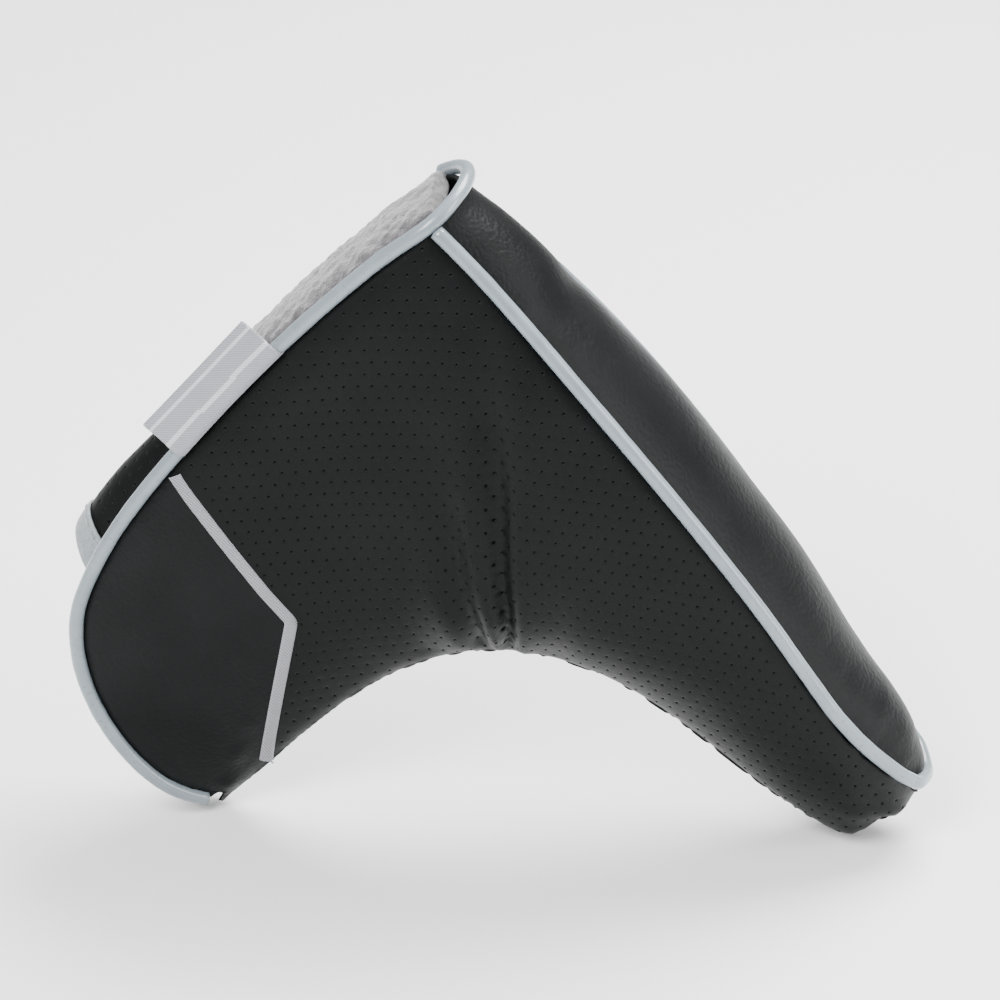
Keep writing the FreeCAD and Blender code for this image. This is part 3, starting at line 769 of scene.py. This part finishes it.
PERFORATED = leather_material("perforated_leather", (0.0016, 0.0021, 0.0021), (0.003, 0.0038, 0.0038),
                              2600, 0.00003, 0.42)
GRAINED = leather_material("grained_leather", (0.0024, 0.0029, 0.003), (0.0048, 0.0056, 0.0058),
                           1250, 0.00009, 0.4)
VINYL = vinyl_material("piping_vinyl", (0.185, 0.22, 0.24), (0.155, 0.187, 0.207))
FLEECE = fibre_material("fleece", (0.035, 0.032, 0.035), (0.13, 0.122, 0.13), 700, 0.0005)
FOAM = fibre_material("foam", (0.42, 0.42, 0.40), (0.6, 0.6, 0.58), 900, 0.0003, 0.95, 0.1)
CORD = fibre_material("cord", (0.55, 0.54, 0.50), (0.78, 0.77, 0.72), 1500, 0.0001, 0.8, 0.2)
SATIN = thread_material("embroidery", (0.26, 0.26, 0.285), (0.15, 0.15, 0.17), "DIAGONAL", 0.0012)
THREAD = thread_material("thread", (0.30, 0.32, 0.34), (0.14, 0.15, 0.17), "DIAGONAL", 0.0008)
TAPE = fibre_material("binding_tape", (0.17, 0.195, 0.21), (0.25, 0.28, 0.295), 1600, 0.00006, 0.6, 0.2)
NICKEL = metal_material("magnet_plating")


def finished(obj, slot, *materials):
    """Give a piece its materials; the slot argument is not used."""
    obj.data.materials.clear()
    for made in materials:
        obj.data.materials.append(made)
    return obj


# --- front leather --------------------------------------------------------------------------------

OUTLINE_STEP = 0.9


def leather_outline(*sides):
    """Closed outline of a leather: the sides that both leathers share, then its own."""
    sides = (flat(crotch_side), flat(toe_side), flat(sole_side), np.array([HEEL_SPOT, sides[0][0]]), *sides,
             np.array([sides[-1][-1], flat(crotch_side)[0]]))
    return joined(*[resample(side, OUTLINE_STEP) for side in sides])[:-1]


def place_front_skin(spots):
    """Points of the front's outside, straight from the CAD faces."""
    return on_outside(FRONT_TREE, FRONT, spots)


FRONT_OUTLINE = leather_outline(opening_side)
front_skin = Skin(FRONT, FRONT_OUTLINE, place_front_skin, FRONT_FOLDS, 3)


def stripe_side(spots):
    """Above 0 to the right of the stripe, below 0 on the plain end of the flap."""
    signs = []
    for a, b in ((STRIPE[0], STRIPE[1]), (STRIPE[1], STRIPE[2])):
        leg = (b - a) / np.linalg.norm(b - a)
        rel = spots - a
        signs.append(leg[0] * rel[:, 1] - leg[1] * rel[:, 0])
    return np.maximum(signs[0], signs[1])


def settle_edges(points, normals, spots, depth, side, piped_edge):
    """Points so far under the skin, with the edges rolled in towards their seams."""
    seam, piped = roll_in(spots, piped_edge)
    points = points - normals * (depth * (1 - seam) + piped)[:, None]
    points[:, 1] += (side * 0.06 - points[:, 1]) * seam
    if side == FRONT:
        points[:, 1] = np.minimum(points[:, 1], -0.03)
    return points


def place_front(spots, depth):
    """Points so far under the front's outside."""
    points, normals = front_skin.at(spots)
    return settle_edges(points, normals, spots, depth, FRONT, PIPED_EDGE)


def sheet_slack(spots):
    """Share of the full thickness: the leather is skived thin where it goes into the plain seam."""
    return np.clip(0.05 + distance_to(SEAM_EDGE, spots)[0] / 2.5, 0.05, 1)


holes = hole_spots(FRONT_OUTLINE)
holes = holes[stripe_side(holes) > STRIPE_HALF + 0.55]
front_leather = leather_sheet("front_leather", FRONT_OUTLINE, holes, place_front, FRONT, sheet_slack)
finished(front_leather, "perforated_leather", PERFORATED, GRAINED)
plain_end = stripe_side(flat(centres_of(front_leather.data))) < 0
front_leather.data.polygons.foreach_set("material_index", plain_end.astype(np.int32))
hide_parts("front_panel", "front_flap_panel", "flap_patch")


# --- tubes ----------------------------------------------------------------------------------------

def frames_along(path, up):
    """Side and up vectors along a path, the up vectors kept near a guide."""
    tangent = np.gradient(path, axis=0)
    tangent /= np.linalg.norm(tangent, axis=1)[:, None]
    side = np.cross(tangent, up)
    side /= np.linalg.norm(side, axis=1)[:, None]
    return side, np.cross(side, tangent)


def tube(name, path, radius, up, sides, ripple, seed):
    """Round tube along a path, closed at both ends, with a slight ripple in its radius."""
    side, top = frames_along(path, up)
    runs = lengths_along(path)
    angles = np.arange(sides) * 2 * math.pi / sides
    points = []
    for i, centre in enumerate(path):
        swell = radius * (1 + ripple * noise.noise(Vector((runs[i] / 3.1, seed, 0.3))))
        points += [centre + swell * (math.cos(a) * side[i] + math.sin(a) * top[i]) for a in angles]
    faces = quads_between(len(path), sides)
    first, last = len(points), len(points) + 1
    points += [path[0] - (path[1] - path[0]) * 0.6, path[-1] + (path[-1] - path[-2]) * 0.6]
    base = (len(path) - 1) * sides
    for k in range(sides):
        n = (k + 1) % sides
        faces.append((first, n, k))
        faces.append((last, base + k, base + n))
    return object_of(name, points, faces)


def outward_of(line, towards):
    """Unit normals of a flat polyline, on the side of a far point."""
    normal = left_of(np.gradient(line, axis=0))
    flip = ((towards - line[len(line) // 2]) @ normal[len(line) // 2]) < 0
    return -normal if flip else normal


def edge_path(line, towards, sink):
    """Centre line of piping beyond an edge of the front, sunk so far under the outside of the leather."""
    return lifted(line + outward_of(line, towards) * PIPING_LIFT, place_front_skin(line)[:, 1] + sink)


def piping_with_cord(name, path, up, seed, *nodes):
    """Piping bead with its cord, in the place of the CAD nodes given."""
    bead = tube(f"{name}_bead", path, PIPING_RADIUS, up, 16, 0.04, seed)
    cord = tube(f"{name}_cord", path[2:-2], CORD_RADIUS, up, 10, 0.06, seed + 1)
    finished(bead, "piping_vinyl", VINYL)
    finished(cord, "cord", CORD)
    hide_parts(*nodes)
    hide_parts(*[f"{node}_cord" for node in nodes])
    return bead, cord


# sole piping: along the front seam, round the toe and along the back seam
sole_line = resample(flat(sole_side), 1.0)
half = edge_path(sole_line, FAR_FROM_SOLE, 0.6)[2:-2]
tip = np.array([[toe_tip[0] + 1.6, 0.0, toe_tip[2] + 0.4]])
start = half[half[:, 1] < -3.0]
path = smoothed(resample(np.concatenate([start[::-1], tip, start * (1, -1, 1)]), 1.0), 6)
for piece in piping_with_cord("sole_piping", path, SOLE_NORMAL, 5, "sole_piping"):
    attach(piece, "pocket")

# opening piping: from the neck corner round the flap, up the opening, over the heel end and down the back
opening_line = resample(opening_side[::-1], 1.0)
flap_part = edge_path(opening_line[3:], FAR_FROM_MOUTH, 0.5)
heel_depth = -height(FRONT_TREE, FRONT, heel_apex[0], heel_apex[2])
over = []
for a in np.linspace(-1, 1, 25):
    rise = HEEL_CROWN * (1 - a * a) ** 0.8 + PIPING_LIFT
    over.append(heel_apex * (1, 0, 1) + SOLE_NORMAL * rise + np.array([0, heel_depth * a, 0]))
path = smoothed(resample(np.concatenate([flap_part[:-4], over]), 1.0), 10)
opening_pieces = piping_with_cord("opening_piping", path, (0.0, 1.0, 0.15), 9, "flap_piping", "heel_piping")


# --- sole gusset ----------------------------------------------------------------------------------

GUSSET_RUN = 160.0
EDGE_TURN = 0.92 * math.pi / 2


def gusset_point(x, z, share, reach, crown, across):
    """Point of the gusset's outside: crowned, puckered beside the seams, with a soft dent near the toe."""
    along, sideways = share * GUSSET_RUN, across * reach
    pucker = 0.42 * math.exp((abs(across) - 1) * reach / 4.5)
    pucker *= noise.noise(Vector((along / 3.6, across * 1.3, 2.0)))
    pucker *= 0.5 + math.exp(-((share - 0.16) / 0.1) ** 2)
    slow = 0.45 * noise.noise(Vector((along / 21, sideways / 15, 6.0)))
    dent = -0.9 * math.exp(-((along - 128) / 6) ** 2 - ((sideways + 2) / 12) ** 2)
    rise = crown * (1 - abs(across) ** 2.2) + (pucker + slow + dent) * min(1, crown / 4)
    return np.array([x, sideways, z]) + SOLE_NORMAL * rise


gusset_tree = tree_of(outer_face("sole_gusset", SOLE_NORMAL))
rows = resample(flat(sole_side), 1.2)
row_count, column_count = len(rows), 37
row_reach = np.maximum(-place_front_skin(rows)[:, 1] - 0.9, 0.6)
row_share = lengths_along(rows) / lengths_along(rows)[-1]
crown = []
for x, z in rows:
    base = Vector((x, 0, z))
    hit = gusset_tree.ray_cast(base + Vector(SOLE_NORMAL) * 60, -Vector(SOLE_NORMAL))[0]
    crown.append((hit - base).dot(Vector(SOLE_NORMAL)) if hit is not None else np.nan)
crown = np.array(crown)
known = ~np.isnan(crown)
crown = np.interp(row_share, row_share[known], crown[known])
crown *= np.sqrt(np.clip(row_share / 0.06, 0, 1))
columns = np.sin(np.linspace(-1, 1, column_count) * EDGE_TURN) / math.sin(EDGE_TURN)
gusset_points = np.array([gusset_point(*rows[i], row_share[i], row_reach[i], crown[i], across)
                          for i in range(row_count) for across in columns])
gusset_faces = []
for i in range(row_count - 1):
    for k in range(column_count - 1):
        a = i * column_count + k
        gusset_faces.append((a, a + 1, a + column_count + 1, a + column_count))
if facing(gusset_points, np.array([face[:3] for face in gusset_faces])) @ SOLE_NORMAL < 0:
    gusset_faces = [face[::-1] for face in gusset_faces]
pinned = np.zeros((row_count, column_count))
pinned[[0, 1, -1]] = pinned[:, [0, -1]] = 1.0
gusset_points = settle(gusset_points, gusset_faces, pinned.ravel(), 0.8)
gusset = object_of("gusset_leather", gusset_points, gusset_faces)
gusset.modifiers.new("Thickness", "SOLIDIFY").thickness = LEATHER_PLY * MM
gusset.modifiers["Thickness"].offset = -1
gusset.modifiers.new("Soft", "SUBSURF").levels = 1
gusset.modifiers["Soft"].render_levels = 1
finished(gusset, "grained_leather", GRAINED)
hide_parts("sole_gusset")
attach(gusset, "pocket")


# --- pieces over the two fold lines: placement baked into their meshes ----------------------------

FOLD_DIRECTION = (heel_apex - neck_corner) * (1, 0, 1)
FOLD_DIRECTION /= np.linalg.norm(FOLD_DIRECTION)


def blend_over_fold(obj):
    """Bake the placement of a piece over the fold line of the front or the back flap into its mesh."""
    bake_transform(obj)


blend_over_fold(front_leather)
for piece in opening_pieces:
    blend_over_fold(piece)


# --- back leather: the back of the pocket and the flap that wraps round the neck ------------------

BACK_TREE = tree_of(outer_face("back_panel", (0, 1, 0)))
WRAP_POINTS, WRAP_TRIANGLES = outer_face("back_flap_panel", (0, 1, 0))
WRAP_ROWS = 40
WRAP_SAMPLES = 72
WRAP_LOW = WRAP_POINTS[WRAP_POINTS[:, 2].argmin()]
WRAP_HIGH = WRAP_POINTS[WRAP_POINTS[:, 0].argmax()]
low_leg = WRAP_POINTS[WRAP_POINTS[:, 0].argmin()] - WRAP_LOW
high_leg = WRAP_POINTS[WRAP_POINTS[:, 2].argmax()] - WRAP_HIGH
LOW_ANGLE, HIGH_ANGLE = (math.atan2(leg[2], leg[0]) for leg in (low_leg, high_leg))


def wrap_frame(share):
    """Start of the wrap on the fold line and its direction, at shares of the fold line's length."""
    angle = LOW_ANGLE + (HIGH_ANGLE - LOW_ANGLE) * share
    start = WRAP_LOW + (WRAP_HIGH - WRAP_LOW) * np.asarray(share)[..., None]
    return start, np.stack([np.cos(angle), np.sin(angle)], axis=-1)


def section(points, triangles, origin, normal):
    """Ordered points where a plane cuts a face, from the end nearer the origin."""
    gap = (points - origin) @ normal
    above = gap[triangles] > 0
    links, spots = {}, {}
    for triangle in triangles[above.any(axis=1) & ~above.all(axis=1)].tolist():
        keys = []
        for i, j in zip(triangle, triangle[1:] + triangle[:1]):
            if (gap[i] > 0) != (gap[j] > 0):
                key = (min(i, j), max(i, j))
                share = gap[key[0]] / (gap[key[0]] - gap[key[1]])
                spots[key] = points[key[0]] + (points[key[1]] - points[key[0]]) * share
                keys.append(key)
        links.setdefault(keys[0], []).append(keys[1])
        links.setdefault(keys[1], []).append(keys[0])
    ends = [key for key, others in links.items() if len(others) == 1]
    current = min(ends, key=lambda key: np.linalg.norm(spots[key] - origin))
    chain, previous = [spots[current]], None
    while True:
        following = [key for key in links[current] if key != previous]
        if not following:
            return np.array(chain)
        previous, current = current, following[0]
        chain.append(spots[current])


WRAP_SHARES = np.linspace(0, 1, WRAP_ROWS)
wrap_table, wrap_lengths, wrap_reach = [], [], []
for share in WRAP_SHARES:
    origin, heading = wrap_frame(np.clip(share, 0.004, 0.992))
    normal = np.array([-heading[1], 0, heading[0]])
    chain = section(WRAP_POINTS, WRAP_TRIANGLES, origin, normal)
    runs = lengths_along(chain)
    outmost = (flat(chain) @ heading).argmax()
    wrap_table.append(point_at(chain, np.linspace(0, runs[-1], WRAP_SAMPLES)))
    wrap_lengths.append(runs[-1])
    wrap_reach.append(runs[outmost])
wrap_table, wrap_lengths, wrap_reach = np.array(wrap_table), np.array(wrap_lengths), np.array(wrap_reach)
kept = step_between(0.44, 0.62, WRAP_SHARES)
wrap_limit = wrap_lengths + (0.86 * wrap_reach - wrap_lengths) * kept


def unrolled(shares, runs):
    """Flat spots of the wrap opened out: runs measured from the fold line."""
    start, heading = wrap_frame(shares)
    return flat(start) + heading * runs[..., None]


def wrap_place(spots):
    """Share along the fold line and run across it, for flat spots."""
    low, high = np.full(len(spots), -0.3), np.full(len(spots), 1.3)
    for _ in range(40):
        middle = (low + high) / 2
        start, heading = wrap_frame(middle)
        rel = spots - flat(start)
        over = heading[:, 0] * rel[:, 1] - heading[:, 1] * rel[:, 0]
        low = np.where(over < 0, middle, low)
        high = np.where(over < 0, high, middle)
    start, heading = wrap_frame(low)
    return low, ((spots - flat(start)) * heading).sum(axis=1)


def place_back_skin(spots):
    """Points of the back: a height field on the pocket, the rolled surface beyond the fold line."""
    shares, runs = wrap_place(spots)
    held = np.clip(shares, 0, 1)
    row = np.clip(held * (WRAP_ROWS - 1), 0, WRAP_ROWS - 1.001)
    i, u = row.astype(int), (row % 1)[:, None]
    length = np.interp(held, WRAP_SHARES, wrap_lengths)
    column = np.clip(runs / length * (WRAP_SAMPLES - 1), 0, WRAP_SAMPLES - 1.001)
    j, v = column.astype(int), (column % 1)[:, None]
    rolled = ((1 - u) * ((1 - v) * wrap_table[i, j] + v * wrap_table[i, j + 1])
              + u * ((1 - v) * wrap_table[i + 1, j] + v * wrap_table[i + 1, j + 1]))
    rolled += wrap_frame(shares)[0] - wrap_frame(held)[0]
    share = step_between(-0.5, 1.5, runs)[:, None]
    return on_outside(BACK_TREE, BACK, spots) * (1 - share) + rolled * share


outer_rim = unrolled(WRAP_SHARES[::-1], wrap_limit[::-1])
low_rim = unrolled(np.zeros(2), np.array([wrap_limit[0], 0.8]))
BACK_OUTLINE = leather_outline(outer_rim, low_rim)
back_skin = Skin(BACK, BACK_OUTLINE, place_back_skin, BACK_FOLDS, 11)


def place_back(spots, depth):
    """Points so far under the back's outside."""
    points, normals = back_skin.at(spots)
    return settle_edges(points, normals, spots, depth, BACK, flat(sole_side))


back_leather = leather_sheet("back_leather", BACK_OUTLINE, hole_spots(BACK_OUTLINE, 1.1), place_back, BACK,
                             sheet_slack)
finished(back_leather, "perforated_leather", PERFORATED)
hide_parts("back_panel", "back_flap_panel")
blend_over_fold(back_leather)


# --- thick ribbons: the label, the binding tape ---------------------------------------------------

def ribbon_section(line, ply, step):
    """Closed outline of a strip of even thickness round a centre line."""
    line = smoothed(resample(line, step), 2)
    away = left_of(np.gradient(line, axis=0)) * ply / 2
    return np.concatenate([line + away, (line - away)[::-1]])


def swept(name, rings):
    """Solid through rings of equal counts, closed at both ends by strips from side to side."""
    rings = np.asarray(rings)
    count, around = rings.shape[:2]
    points = rings.reshape(-1, 3)
    half = around // 2
    faces = quads_between(count, around)
    last = (count - 1) * around
    for k in range(half - 1):
        faces.append((k, around - 1 - k, around - 2 - k, k + 1))
        faces.append((last + k, last + k + 1, last + around - 2 - k, last + around - 1 - k))
    obj = object_of(name, points, faces)
    triangles = np.array([face[:3] for face in faces] + [(face[0], face[2], face[3]) for face in faces])
    a, b, c = (points[triangles[:, i]] for i in range(3))
    if np.einsum("ij,ij->i", a - points[0], np.cross(b - a, c - a)).sum() < 0:
        obj.data.flip_normals()
    return obj


# woven label: two plies over the piping, sewn into the seam, with the fold as the free edge
label_points, _ = node_mesh("woven_label")
label_centre = label_points.mean(axis=0)
run, out, lift = np.linalg.svd(label_points - label_centre, full_matrices=False)[2]
run = run * np.sign(run[2])
out = -out * np.sign(out[0])
lift = -lift * np.sign(lift[1])
rel = label_points - label_centre
LABEL_LENGTH = np.ptp(rel @ run)
LABEL_WIDTH = np.ptp(rel @ out)
label_corner = (label_centre + run * (rel @ run).min() + out * (rel @ out).min()
                + lift * np.median(rel @ lift))
seam = place_front_skin(opening_side) - label_corner
seam = seam[np.argsort(seam @ run)]
seam_run, seam_out, seam_lift = seam @ run, seam @ out, seam @ lift
LABEL_PLY = 0.42
SEAM_SINK = 2.1
PLAIN_LINES = (4.4, 8.9)
PLAIN_LINE_HALF = 0.45
LABEL_LOOP = np.array([(0.1, -2.45), (0.45, -1.5), (1.2, -0.95), (2.1, -0.78), (3.4, -0.95), (5.0, -1.4),
                       (7.5, -1.7), (10.2, -1.75), (10.75, -1.45), (10.2, -1.15), (7.5, -1.1), (5.0, -0.85),
                       (3.4, -0.42), (2.1, -0.25), (1.0, -0.45), (0.15, -1.2), (-0.15, -2.3)])
LABEL_LOOP[:, 0] *= LABEL_WIDTH / 11.0
outward, upward = ribbon_section(LABEL_LOOP, LABEL_PLY, 0.34).T
near = 1 - step_between(2.0, 9.0, outward)
rings = []
for share in np.linspace(0, 1, 30):
    place = share * LABEL_LENGTH
    d = outward + np.interp(place, seam_run, seam_out) * near
    h = upward + (np.interp(place, seam_run, seam_lift) + SEAM_SINK) * near
    h += 0.25 * (1 - near) * math.sin(math.pi * share) + 0.06 * noise.noise(Vector((place / 5, 0.0, 3.0)))
    rings.append(label_corner + run * place + d[:, None] * out + h[:, None] * lift)
label = swept("woven_label_ribbon", rings)
LABEL_WEAVE = twill_material("woven_label", (0.27, 0.275, 0.305), (0.18, 0.185, 0.21), run, out)
LABEL_LINE = twill_material("woven_label_line", (0.5, 0.51, 0.54), (0.36, 0.37, 0.4), run, out)
finished(label, "label_ribbon", LABEL_WEAVE, LABEL_LINE)
across = (centres_of(label.data) - label_corner) @ out
plain = np.abs(across[:, None] - PLAIN_LINES).min(axis=1) < PLAIN_LINE_HALF
label.data.polygons.foreach_set("material_index", plain.astype(np.int32))
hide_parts("woven_label")
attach(label, "label")

# binding tape round the raw lower end of the back flap, with its row of stitches
TAPE_LINE = np.array([(4.8, 0.28), (2.5, 0.34), (0.5, 0.36), (-0.5, 0.05), (-0.8, -0.6), (-0.5, -1.25),
                      (0.5, -1.55), (3.8, -1.5)])
tape_inward, tape_rise = ribbon_section(TAPE_LINE, 0.5, 0.5).T
low_heading = wrap_frame(np.zeros(1))[1][0]
into_flap = np.array([low_heading[1], -low_heading[0]])
low_spot, next_spot = unrolled(np.array([0.0, 0.1]), np.array([20.0, 20.0]))
if into_flap @ (next_spot - low_spot) < 0:
    into_flap = -into_flap


def on_low_end(runs, inward, rise):
    """Points beside the raw lower end: inward from it and above the leather."""
    edge = unrolled(np.zeros(len(runs)), runs)
    base, normals = back_skin.at(edge + into_flap * np.maximum(inward, 0.05)[:, None])
    ahead = back_skin.at(edge + into_flap * (np.maximum(inward, 0.05) + 0.6)[:, None])[0] - base
    ahead /= np.linalg.norm(ahead, axis=1)[:, None]
    return base + normals * rise[:, None] + ahead * np.minimum(inward, 0)[:, None]


rings = [on_low_end(np.full(len(tape_rise), place), tape_inward, tape_rise)
         for place in np.arange(5.0, wrap_limit[0] - 0.8, 1.1)]
tape = swept("binding_tape", rings)
finished(tape, "binding_tape", TAPE)
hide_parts("back_flap_binding")
blend_over_fold(tape)


def add_thread(points, faces, line, across, up):
    """Add a closed thread along a line, with the half width and half height of its rings as vectors."""
    start, last = len(points), len(points) + (len(line) - 1) * THREAD_SIDES
    for centre, wide, high in zip(line, across, up):
        for angle in np.arange(THREAD_SIDES) * 2 * math.pi / THREAD_SIDES:
            points.append(centre + math.cos(angle) * wide + math.sin(angle) * high)
    faces += quads_between(len(line), THREAD_SIDES, start)
    faces.append(tuple(start + k for k in reversed(range(THREAD_SIDES))))
    faces.append(tuple(last + k for k in range(THREAD_SIDES)))


THREAD_SIDES = 6
STITCH_RADIUS = 0.2
points, faces = [], []
bow = np.linspace(-1, 1, 7)
for place in np.arange(7.0, wrap_limit[0] - 4.0, 2.9):
    line = on_low_end(place + bow, np.full(7, 3.9), 0.5 + 0.16 * np.sqrt(1 - bow ** 2))
    side, top = frames_along(line, (0.3, 0.2, 0.9))
    add_thread(points, faces, line, side * STITCH_RADIUS, top * STITCH_RADIUS)
binding_thread = object_of("binding_thread", points, faces)
finished(binding_thread, "thread", THREAD)
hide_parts("binding_stitches")
blend_over_fold(binding_thread)


# --- satin-stitched stripe ------------------------------------------------------------------------

stripe_line = smoothed(resample(STRIPE, 0.42), 5)
stripe_line = stripe_line[inside(FRONT_OUTLINE, stripe_line)]
stripe_line = stripe_line[distance_to(closed(FRONT_OUTLINE), stripe_line)[0] > 1.5]
ahead = np.gradient(stripe_line, axis=0)
ahead /= np.linalg.norm(ahead, axis=1)[:, None]
STATIONS = np.linspace(-1, 1, 9)
SLANT = 0.16
THREAD_HALF_WIDTH, THREAD_HALF_HEIGHT = 0.25, 0.17
reach = STRIPE_HALF * (left_of(ahead) + SLANT * ahead)
spots = stripe_line[:, None, :] + STATIONS[None, :, None] * reach[:, None, :]
base, normals = (found.reshape(*spots.shape[:2], 3) for found in front_skin.at(spots.reshape(-1, 2)))
rise = 0.5 * np.maximum(1 - STATIONS ** 4, 0) ** 0.5 - 0.22
forward = lifted(ahead, np.zeros(len(ahead)))
points, faces = [], []
for i in range(len(stripe_line)):
    swell = 1 + 0.18 * noise.noise(Vector((i * 0.7, 4.0, 1.0)))
    add_thread(points, faces, base[i] + normals[i] * rise[:, None],
               np.tile(forward[i] * THREAD_HALF_WIDTH, (len(STATIONS), 1)),
               normals[i] * THREAD_HALF_HEIGHT * swell)
stripe = object_of("satin_stripe", points, faces)
finished(stripe, "embroidery", SATIN)
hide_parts("flap_stripe", "neck_stripe")
blend_over_fold(stripe)


# --- foam and fleece ------------------------------------------------------------------------------

def plush(node, slot, made, voxel, curl, folds, extra=None):
    """A soft copy of a node: evenly meshed, curled by noise and drawn in with the leather's folds."""
    obj = bpy.data.objects.new(f"{node}_soft", NODES[node].data.copy())
    bpy.context.scene.collection.objects.link(obj)
    if extra is not None:
        with bpy.context.temp_override(active_object=obj, selected_editable_objects=[obj, extra]):
            bpy.ops.object.join()
    remesh = obj.modifiers.new("Even", "REMESH")
    remesh.mode = "VOXEL"
    remesh.voxel_size = voxel * MM
    remesh.use_smooth_shade = True
    mesh = bpy.data.meshes.new_from_object(obj.evaluated_get(bpy.context.evaluated_depsgraph_get()))
    obj.modifiers.clear()
    obj.data = mesh
    points = mesh_points(mesh)
    normals = np.empty(len(points) * 3)
    mesh.vertices.foreach_get("normal", normals)
    lumps = np.array([noise.noise(Vector(p / 2.3)) + 0.5 * noise.noise(Vector(p / 1.1)) for p in points])
    moved = points + normals.reshape(-1, 3) * (curl * lumps)[:, None]
    if folds is not None:
        moved[:, 1] -= np.sign(points[:, 1]) * faded_depth(folds, flat(points))
    mesh.vertices.foreach_set("co", (moved * MM).ravel())
    mesh.update()
    finished(obj, slot, made)
    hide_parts(node)
    return obj


def mouth_fleece():
    """Roll of fleece that closes the mouth behind the opening piping, above the label."""
    line = resample(np.concatenate([[HEEL_SPOT + flat(SOLE_NORMAL) * 2.5], opening_side]), 2.0)
    line = line[:int(len(line) * 0.44)]
    angles = np.arange(28) * 2 * math.pi / 28
    across = np.sign(np.cos(angles)) * np.abs(np.cos(angles)) ** 0.8
    through = np.sign(np.sin(angles)) * np.abs(np.sin(angles)) ** 0.7
    rings = []
    for k, (spot, away) in enumerate(zip(line, outward_of(line, FAR_FROM_MOUTH))):
        deep = -height(FRONT_TREE, FRONT, *spot) - 2.8
        fade = 0.55 + 0.45 * math.sin(math.pi * min(1, (k + 1) / 8) / 2)
        rings.append(lifted(spot + away * (0.2 + 3.2 * fade * across)[:, None], deep * through + 0.6))
    return swept("mouth_fleece", rings)


FINE = 0.62
COARSE = 1.2
for node, voxel, slot, made, curl, folds, side in (
        ("front_padding", COARSE, "foam", FOAM, 0.15, FRONT_FOLDS, None),
        ("back_padding", COARSE, "foam", FOAM, 0.15, BACK_FOLDS, None),
        ("sole_padding", COARSE, "foam", FOAM, 0.15, None, None),
        ("front_lining", COARSE, "fleece", FLEECE, 0.5, FRONT_FOLDS, None),
        ("back_lining", COARSE, "fleece", FLEECE, 0.5, BACK_FOLDS, None),
        ("sole_lining", COARSE, "fleece", FLEECE, 0.5, None, None),
        ("flap_padding", COARSE, "foam", FOAM, 0.12, FRONT_FOLDS, FRONT),
        ("flap_lining", COARSE, "fleece", FLEECE, 0.5, FRONT_FOLDS, FRONT),
        ("back_flap_padding", FINE, "foam", FOAM, 0.1, BACK_FOLDS, BACK),
        ("back_flap_lining", FINE, "fleece", FLEECE, 0.5, None, BACK)):
    extra = mouth_fleece() if node == "back_flap_lining" else None
    piece = plush(node, slot, made, voxel, curl, folds, extra)
    if side is None:
        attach(piece, "pocket")
    else:
        blend_over_fold(piece)

for node in ("flap_magnets", "back_flap_magnets"):
    NODES[node].data.materials.clear()
    NODES[node].data.materials.append(NICKEL)


# --- stage, light and camera ----------------------------------------------------------------------

def area_light(name, location, target, wide, tall, power):
    """Rectangular soft light aimed at a point."""
    data = bpy.data.lights.new(name, "AREA")
    data.shape = "RECTANGLE"
    data.size, data.size_y = wide, tall
    data.energy = power
    light = bpy.data.objects.new(name, data)
    light.location = location
    light.rotation_mode = "QUATERNION"
    light.rotation_quaternion = (Vector(target) - Vector(location)).to_track_quat("-Z", "Y")
    bpy.context.scene.collection.objects.link(light)


FLOOR_HALF, FLOOR_GAP = 4000, -0.3
floor = object_of("floor", [(x * FLOOR_HALF, y * FLOOR_HALF, FLOOR_GAP)
                            for x, y in ((-1, -1), (1, -1), (1, 1), (-1, 1))], [(0, 1, 2, 3)])
floor_material, _, floor_shader, _ = material("floor")
floor_shader.inputs["Base Color"].default_value = (0.86, 0.86, 0.86, 1)
floor_shader.inputs["Roughness"].default_value = 0.9
floor.data.materials.append(floor_material)

world = bpy.data.worlds.new("studio")
bpy.context.scene.world = world
world.use_nodes = True
background = world.node_tree.nodes["Background"]
background.inputs["Color"].default_value = (1, 1, 1, 1)
background.inputs["Strength"].default_value = 0.62
centre = Vector((0, 0, 0.07))
area_light("key", (-0.35, -0.6, 0.75), centre, 0.5, 0.5, 17)
area_light("top", (0.25, 0.35, 0.8), centre, 0.7, 0.4, 24)
area_light("side", (0.8, -0.15, 0.35), centre, 0.35, 0.6, 7)

VIEW_WIDTH = 0.2
LENS, SENSOR = 180, 36
azimuth, elevation = math.radians(5), math.radians(28)
back_vector = Vector((math.sin(azimuth) * math.cos(elevation), -math.cos(azimuth) * math.cos(elevation),
                      math.sin(elevation)))
camera = bpy.data.objects.new("camera", bpy.data.cameras.new("camera"))
bpy.context.scene.collection.objects.link(camera)
camera.data.lens = LENS
camera.data.sensor_width = SENSOR
camera.location = Vector((-0.0006, 0, 0.0734)) + back_vector * (VIEW_WIDTH * LENS / SENSOR)
camera.rotation_mode = "QUATERNION"
camera.rotation_quaternion = (-back_vector).to_track_quat("-Z", "Y")
bpy.context.scene.camera = camera
